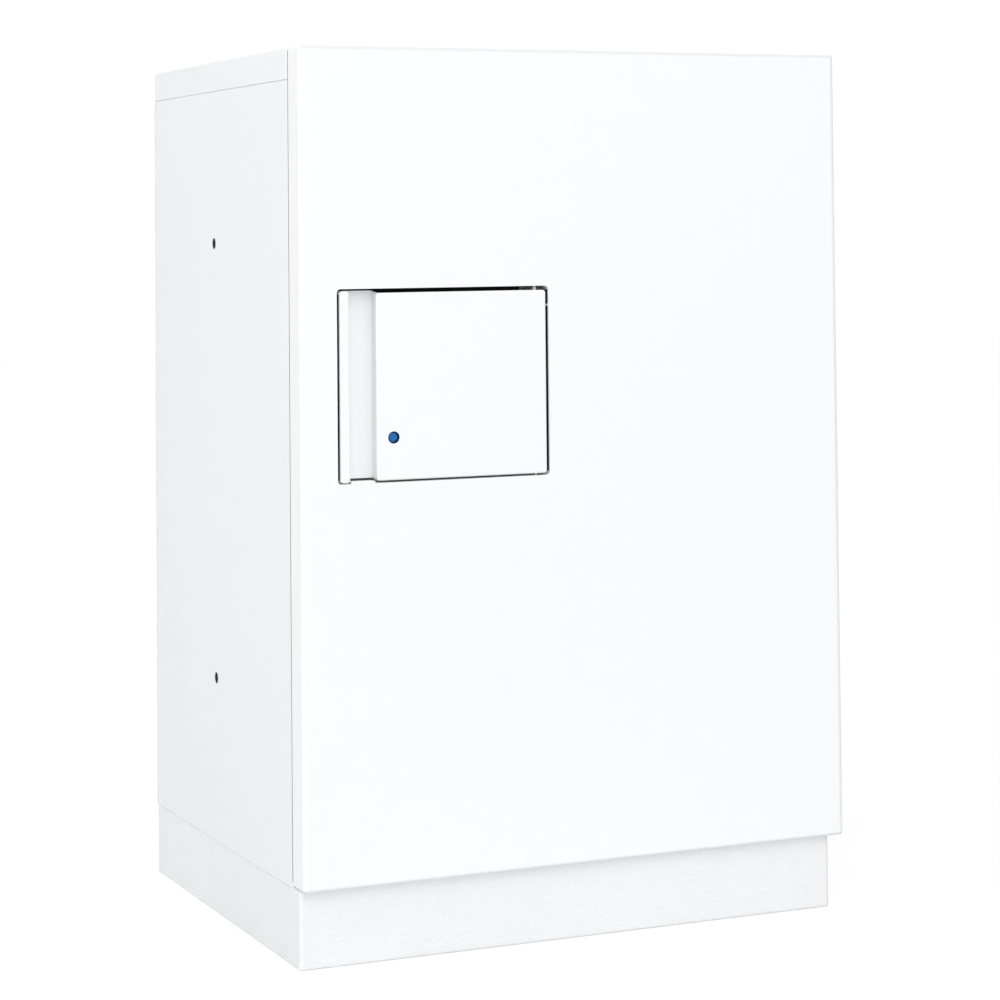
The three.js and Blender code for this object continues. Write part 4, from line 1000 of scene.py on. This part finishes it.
def ribbed_mat(name, x0, x1, y0, y1, ribs):
    parts = [box_piece(name + "_base", "black_rubber", "cabinet", x0, x1, y0, y1, MAT_Z, MAT_Z + 1.0, 0)]
    pitch = (y1 - y0 - 4.0) / ribs
    for i in range(ribs):
        y = y0 + 2.0 + pitch * (i + 0.5)
        parts.append(box_piece("%s_rib_%d" % (name, i), "black_rubber", "cabinet", x0 + 3, x1 - 3, y - 1.1, y + 1.1, MAT_Z + 0.9, MAT_Z + 1.8, 0))
    o = merged(name, "black_rubber", "cabinet", parts)
    add_edges(o, 0.25, 2, 38)
    add_normals(o)
    return o


ribbed_mat("tray_mat_front", -245.0, -52.0, -199.0, -92.0, 13)
ribbed_mat("tray_mat_rear", -245.0, -52.0, -79.0, -36.0, 5)

# contact pins of the mains inlet
pins = [box_piece("inlet_pin_%d" % i, "coil_brass", "cabinet", INLET[0] + dx - 1.1, INLET[0] + dx + 1.1, inlet_hi[1] - 18.0, inlet_hi[1] - 3.5, INLET[1] + dz - 2.1, INLET[1] + dz + 2.1, 0)
        for i, (dx, dz) in enumerate(((-6.8, -1.6), (0.0, 1.8), (6.8, -1.6)))]
o = merged("inlet_pins", "bright_steel", "cabinet", pins)
add_edges(o, 0.3, 2, 38)
add_normals(o)

# cooling ribs of the power supply and the terminal row of the controller
ps_lo, ps_hi = mm_box("power_supply")
parts = [box_piece("ps_rib_%d" % i, "device_aluminium", "cabinet", ps_lo[0] + 12 + 12 * i, ps_lo[0] + 17 + 12 * i, ps_lo[1] + 14, ps_hi[1] - 14, ps_hi[2] - 0.2, ps_hi[2] + 1.6, 0) for i in range(12)]
o = merged("power_supply_ribs", "device_aluminium", "cabinet", parts)
add_edges(o, 0.5, 2, 38)
add_normals(o)
ct_lo, ct_hi = mm_box("controller_cover")
parts = [box_piece("terminal_%d" % i, "grey_plastic", "cabinet", ct_lo[0] + 16 + 10 * i, ct_lo[0] + 25.4 + 10 * i, ct_lo[1] - 6.0, ct_lo[1] + 0.3, 476.0, 486.5, 0) for i in range(10)]
o = merged("controller_terminals", "grey_plastic", "cabinet", parts)
add_edges(o, 0.4, 2, 38)
add_normals(o)
parts = [turned("terminal_screw_%d" % i, "bright_steel", "cabinet", "z", (ct_lo[0] + 20.7 + 10 * i, ct_lo[1] - 3.0, 486.5), screw_profile(1.9, 0.7, 1, 0.4), 16) for i in range(10)]
o = merged("controller_terminal_screws", "bright_steel", "cabinet", parts)
add_normals(o)

# =============================================================== floor, light, camera
sc.view_settings.view_transform = "Standard"
sc.view_settings.look = "None"
sc.view_settings.exposure = 0.0
sc.view_settings.gamma = 1.0

bm = bmesh.new()
bmesh.ops.create_grid(bm, x_segments=24, y_segments=24, size=14.0)
me = bpy.data.meshes.new("studio_floor")
bm.to_mesh(me)
bm.free()
floor = bpy.data.objects.new("studio_floor", me)
sc.collection.objects.link(floor)
m, g = material("studio_floor")
at = g.coords()
tone = g.span(g.noise(at, 1.3, 2.0), 0.3, 0.7, 0.0, 1.0)
col = g.mix(tone, (0.70, 0.70, 0.70), (0.73, 0.73, 0.73))
diff = g.add("ShaderNodeBsdfDiffuse")
g.put(diff, "Color", col)
em = g.add("ShaderNodeEmission")
g.put(em, "Color", (1, 1, 1, 1))
g.put(em, "Strength", 1.06)
lp = g.add("ShaderNodeLightPath")
share = g.math("MULTIPLY", lp.outputs["Is Camera Ray"], 0.86)
mx = g.add("ShaderNodeMixShader")
g.put(mx, "Fac", share)
g.t.links.new(diff.outputs[0], mx.inputs[1])
g.t.links.new(em.outputs[0], mx.inputs[2])
out = g.add("ShaderNodeOutputMaterial")
g.t.links.new(mx.outputs[0], out.inputs["Surface"])
me.materials.append(m)

world = bpy.data.worlds.new("studio")
sc.world = world
world.use_nodes = True
g = Graph(world.node_tree)
tc = g.add("ShaderNodeTexCoord")
dot = g.add("ShaderNodeVectorMath", operation="DOT_PRODUCT")
g.t.links.new(tc.outputs["Generated"], dot.inputs[0])
dot.inputs[1].default_value = Vector((-0.12, -0.88, 0.46)).normalized()
toward = g.span(dot.outputs["Value"], -1.0, 1.0, 0.0, 1.0)
level = g.math("ADD", g.math("MULTIPLY", g.math("MULTIPLY", toward, toward), 1.17), 0.305)
bg = g.add("ShaderNodeBackground")
g.put(bg, "Color", (1.0, 1.0, 1.0, 1.0))
g.put(bg, "Strength", level)
white = g.add("ShaderNodeBackground")
g.put(white, "Color", (1.0, 1.0, 1.0, 1.0))
g.put(white, "Strength", 1.05)
lp = g.add("ShaderNodeLightPath")
mx = g.add("ShaderNodeMixShader")
g.put(mx, "Fac", lp.outputs["Is Camera Ray"])
g.t.links.new(bg.outputs[0], mx.inputs[1])
g.t.links.new(white.outputs[0], mx.inputs[2])
out = g.add("ShaderNodeOutputWorld")
g.t.links.new(mx.outputs[0], out.inputs["Surface"])


def softbox(name, place, target, size, power):
    d = bpy.data.lights.new(name, "AREA")
    d.shape = "RECTANGLE"
    d.size, d.size_y = size
    d.energy = power
    o = bpy.data.objects.new(name, d)
    sc.collection.objects.link(o)
    o.location = place
    o.rotation_mode = "QUATERNION"
    o.rotation_quaternion = (Vector(target) - Vector(place)).to_track_quat("-Z", "Y")
    return o


softbox("key", (-0.7, -2.3, 2.3), (0.0, 0.0, 0.55), (1.2, 1.2), 6.7)
softbox("rear", (1.6, 3.2, 2.2), (0.0, 0.0, 0.45), (1.6, 1.6), 14.0)
softbox("side", (-2.5, -0.35, 2.05), (-0.3, 0.0, 0.6), (0.8, 0.8), 22.0)

# The camera is level within two degrees, with its lens shifted, as the photograph's is.
FOCAL, CX, CY = 2827.1, 570.5, 138.5
cam_x = Vector((0.909543746, -0.415487582, -0.010012143))
cam_down = Vector((0.005131991, 0.035316424, -0.999363004))
cam_fwd = Vector((0.415576511, 0.908912988, 0.034254111))
cam_data = bpy.data.cameras.new("photo_camera")
cam = bpy.data.objects.new("photo_camera", cam_data)
sc.collection.objects.link(cam)
sc.camera = cam
cam_data.sensor_width = 36.0
cam_data.lens = 36.0 * FOCAL / 1000.0
cam_data.clip_start, cam_data.clip_end = 0.05, 60.0
rot = Matrix((cam_x, -cam_down, -cam_fwd)).transposed()
place = Vector(((-905.3 - 300.0) * MM, (-2617.4 - 250.0) * MM, 711.0 * MM))
cam.matrix_world = Matrix.Translation(place) @ rot.to_4x4()
viewpoint = bpy.data.objects.new("photo_viewpoint", None)
viewpoint.location = place
sc.collection.objects.link(viewpoint)


def shift_only_here(prop, value):
    """The lens shift holds at the photograph's viewpoint only, so that other viewpoints frame the object in the middle."""
    drv = cam_data.driver_add(prop)
    drv.driver.type = "SUM"
    var = drv.driver.variables.new()
    var.type = "LOC_DIFF"
    for target, ob in zip(var.targets, (cam, viewpoint)):
        target.id = ob
        target.transform_space = "WORLD_SPACE"
    for mod in list(drv.modifiers):
        drv.modifiers.remove(mod)
    for distance, v in ((0.0, value), (0.03, value), (0.06, 0.0)):
        k = drv.keyframe_points.insert(distance, v)
        k.interpolation = "LINEAR"
    drv.extrapolation = "CONSTANT"


shift_only_here("shift_x", (500.0 - CX) / 1000.0)
shift_only_here("shift_y", (CY - 500.0) / 1000.0)
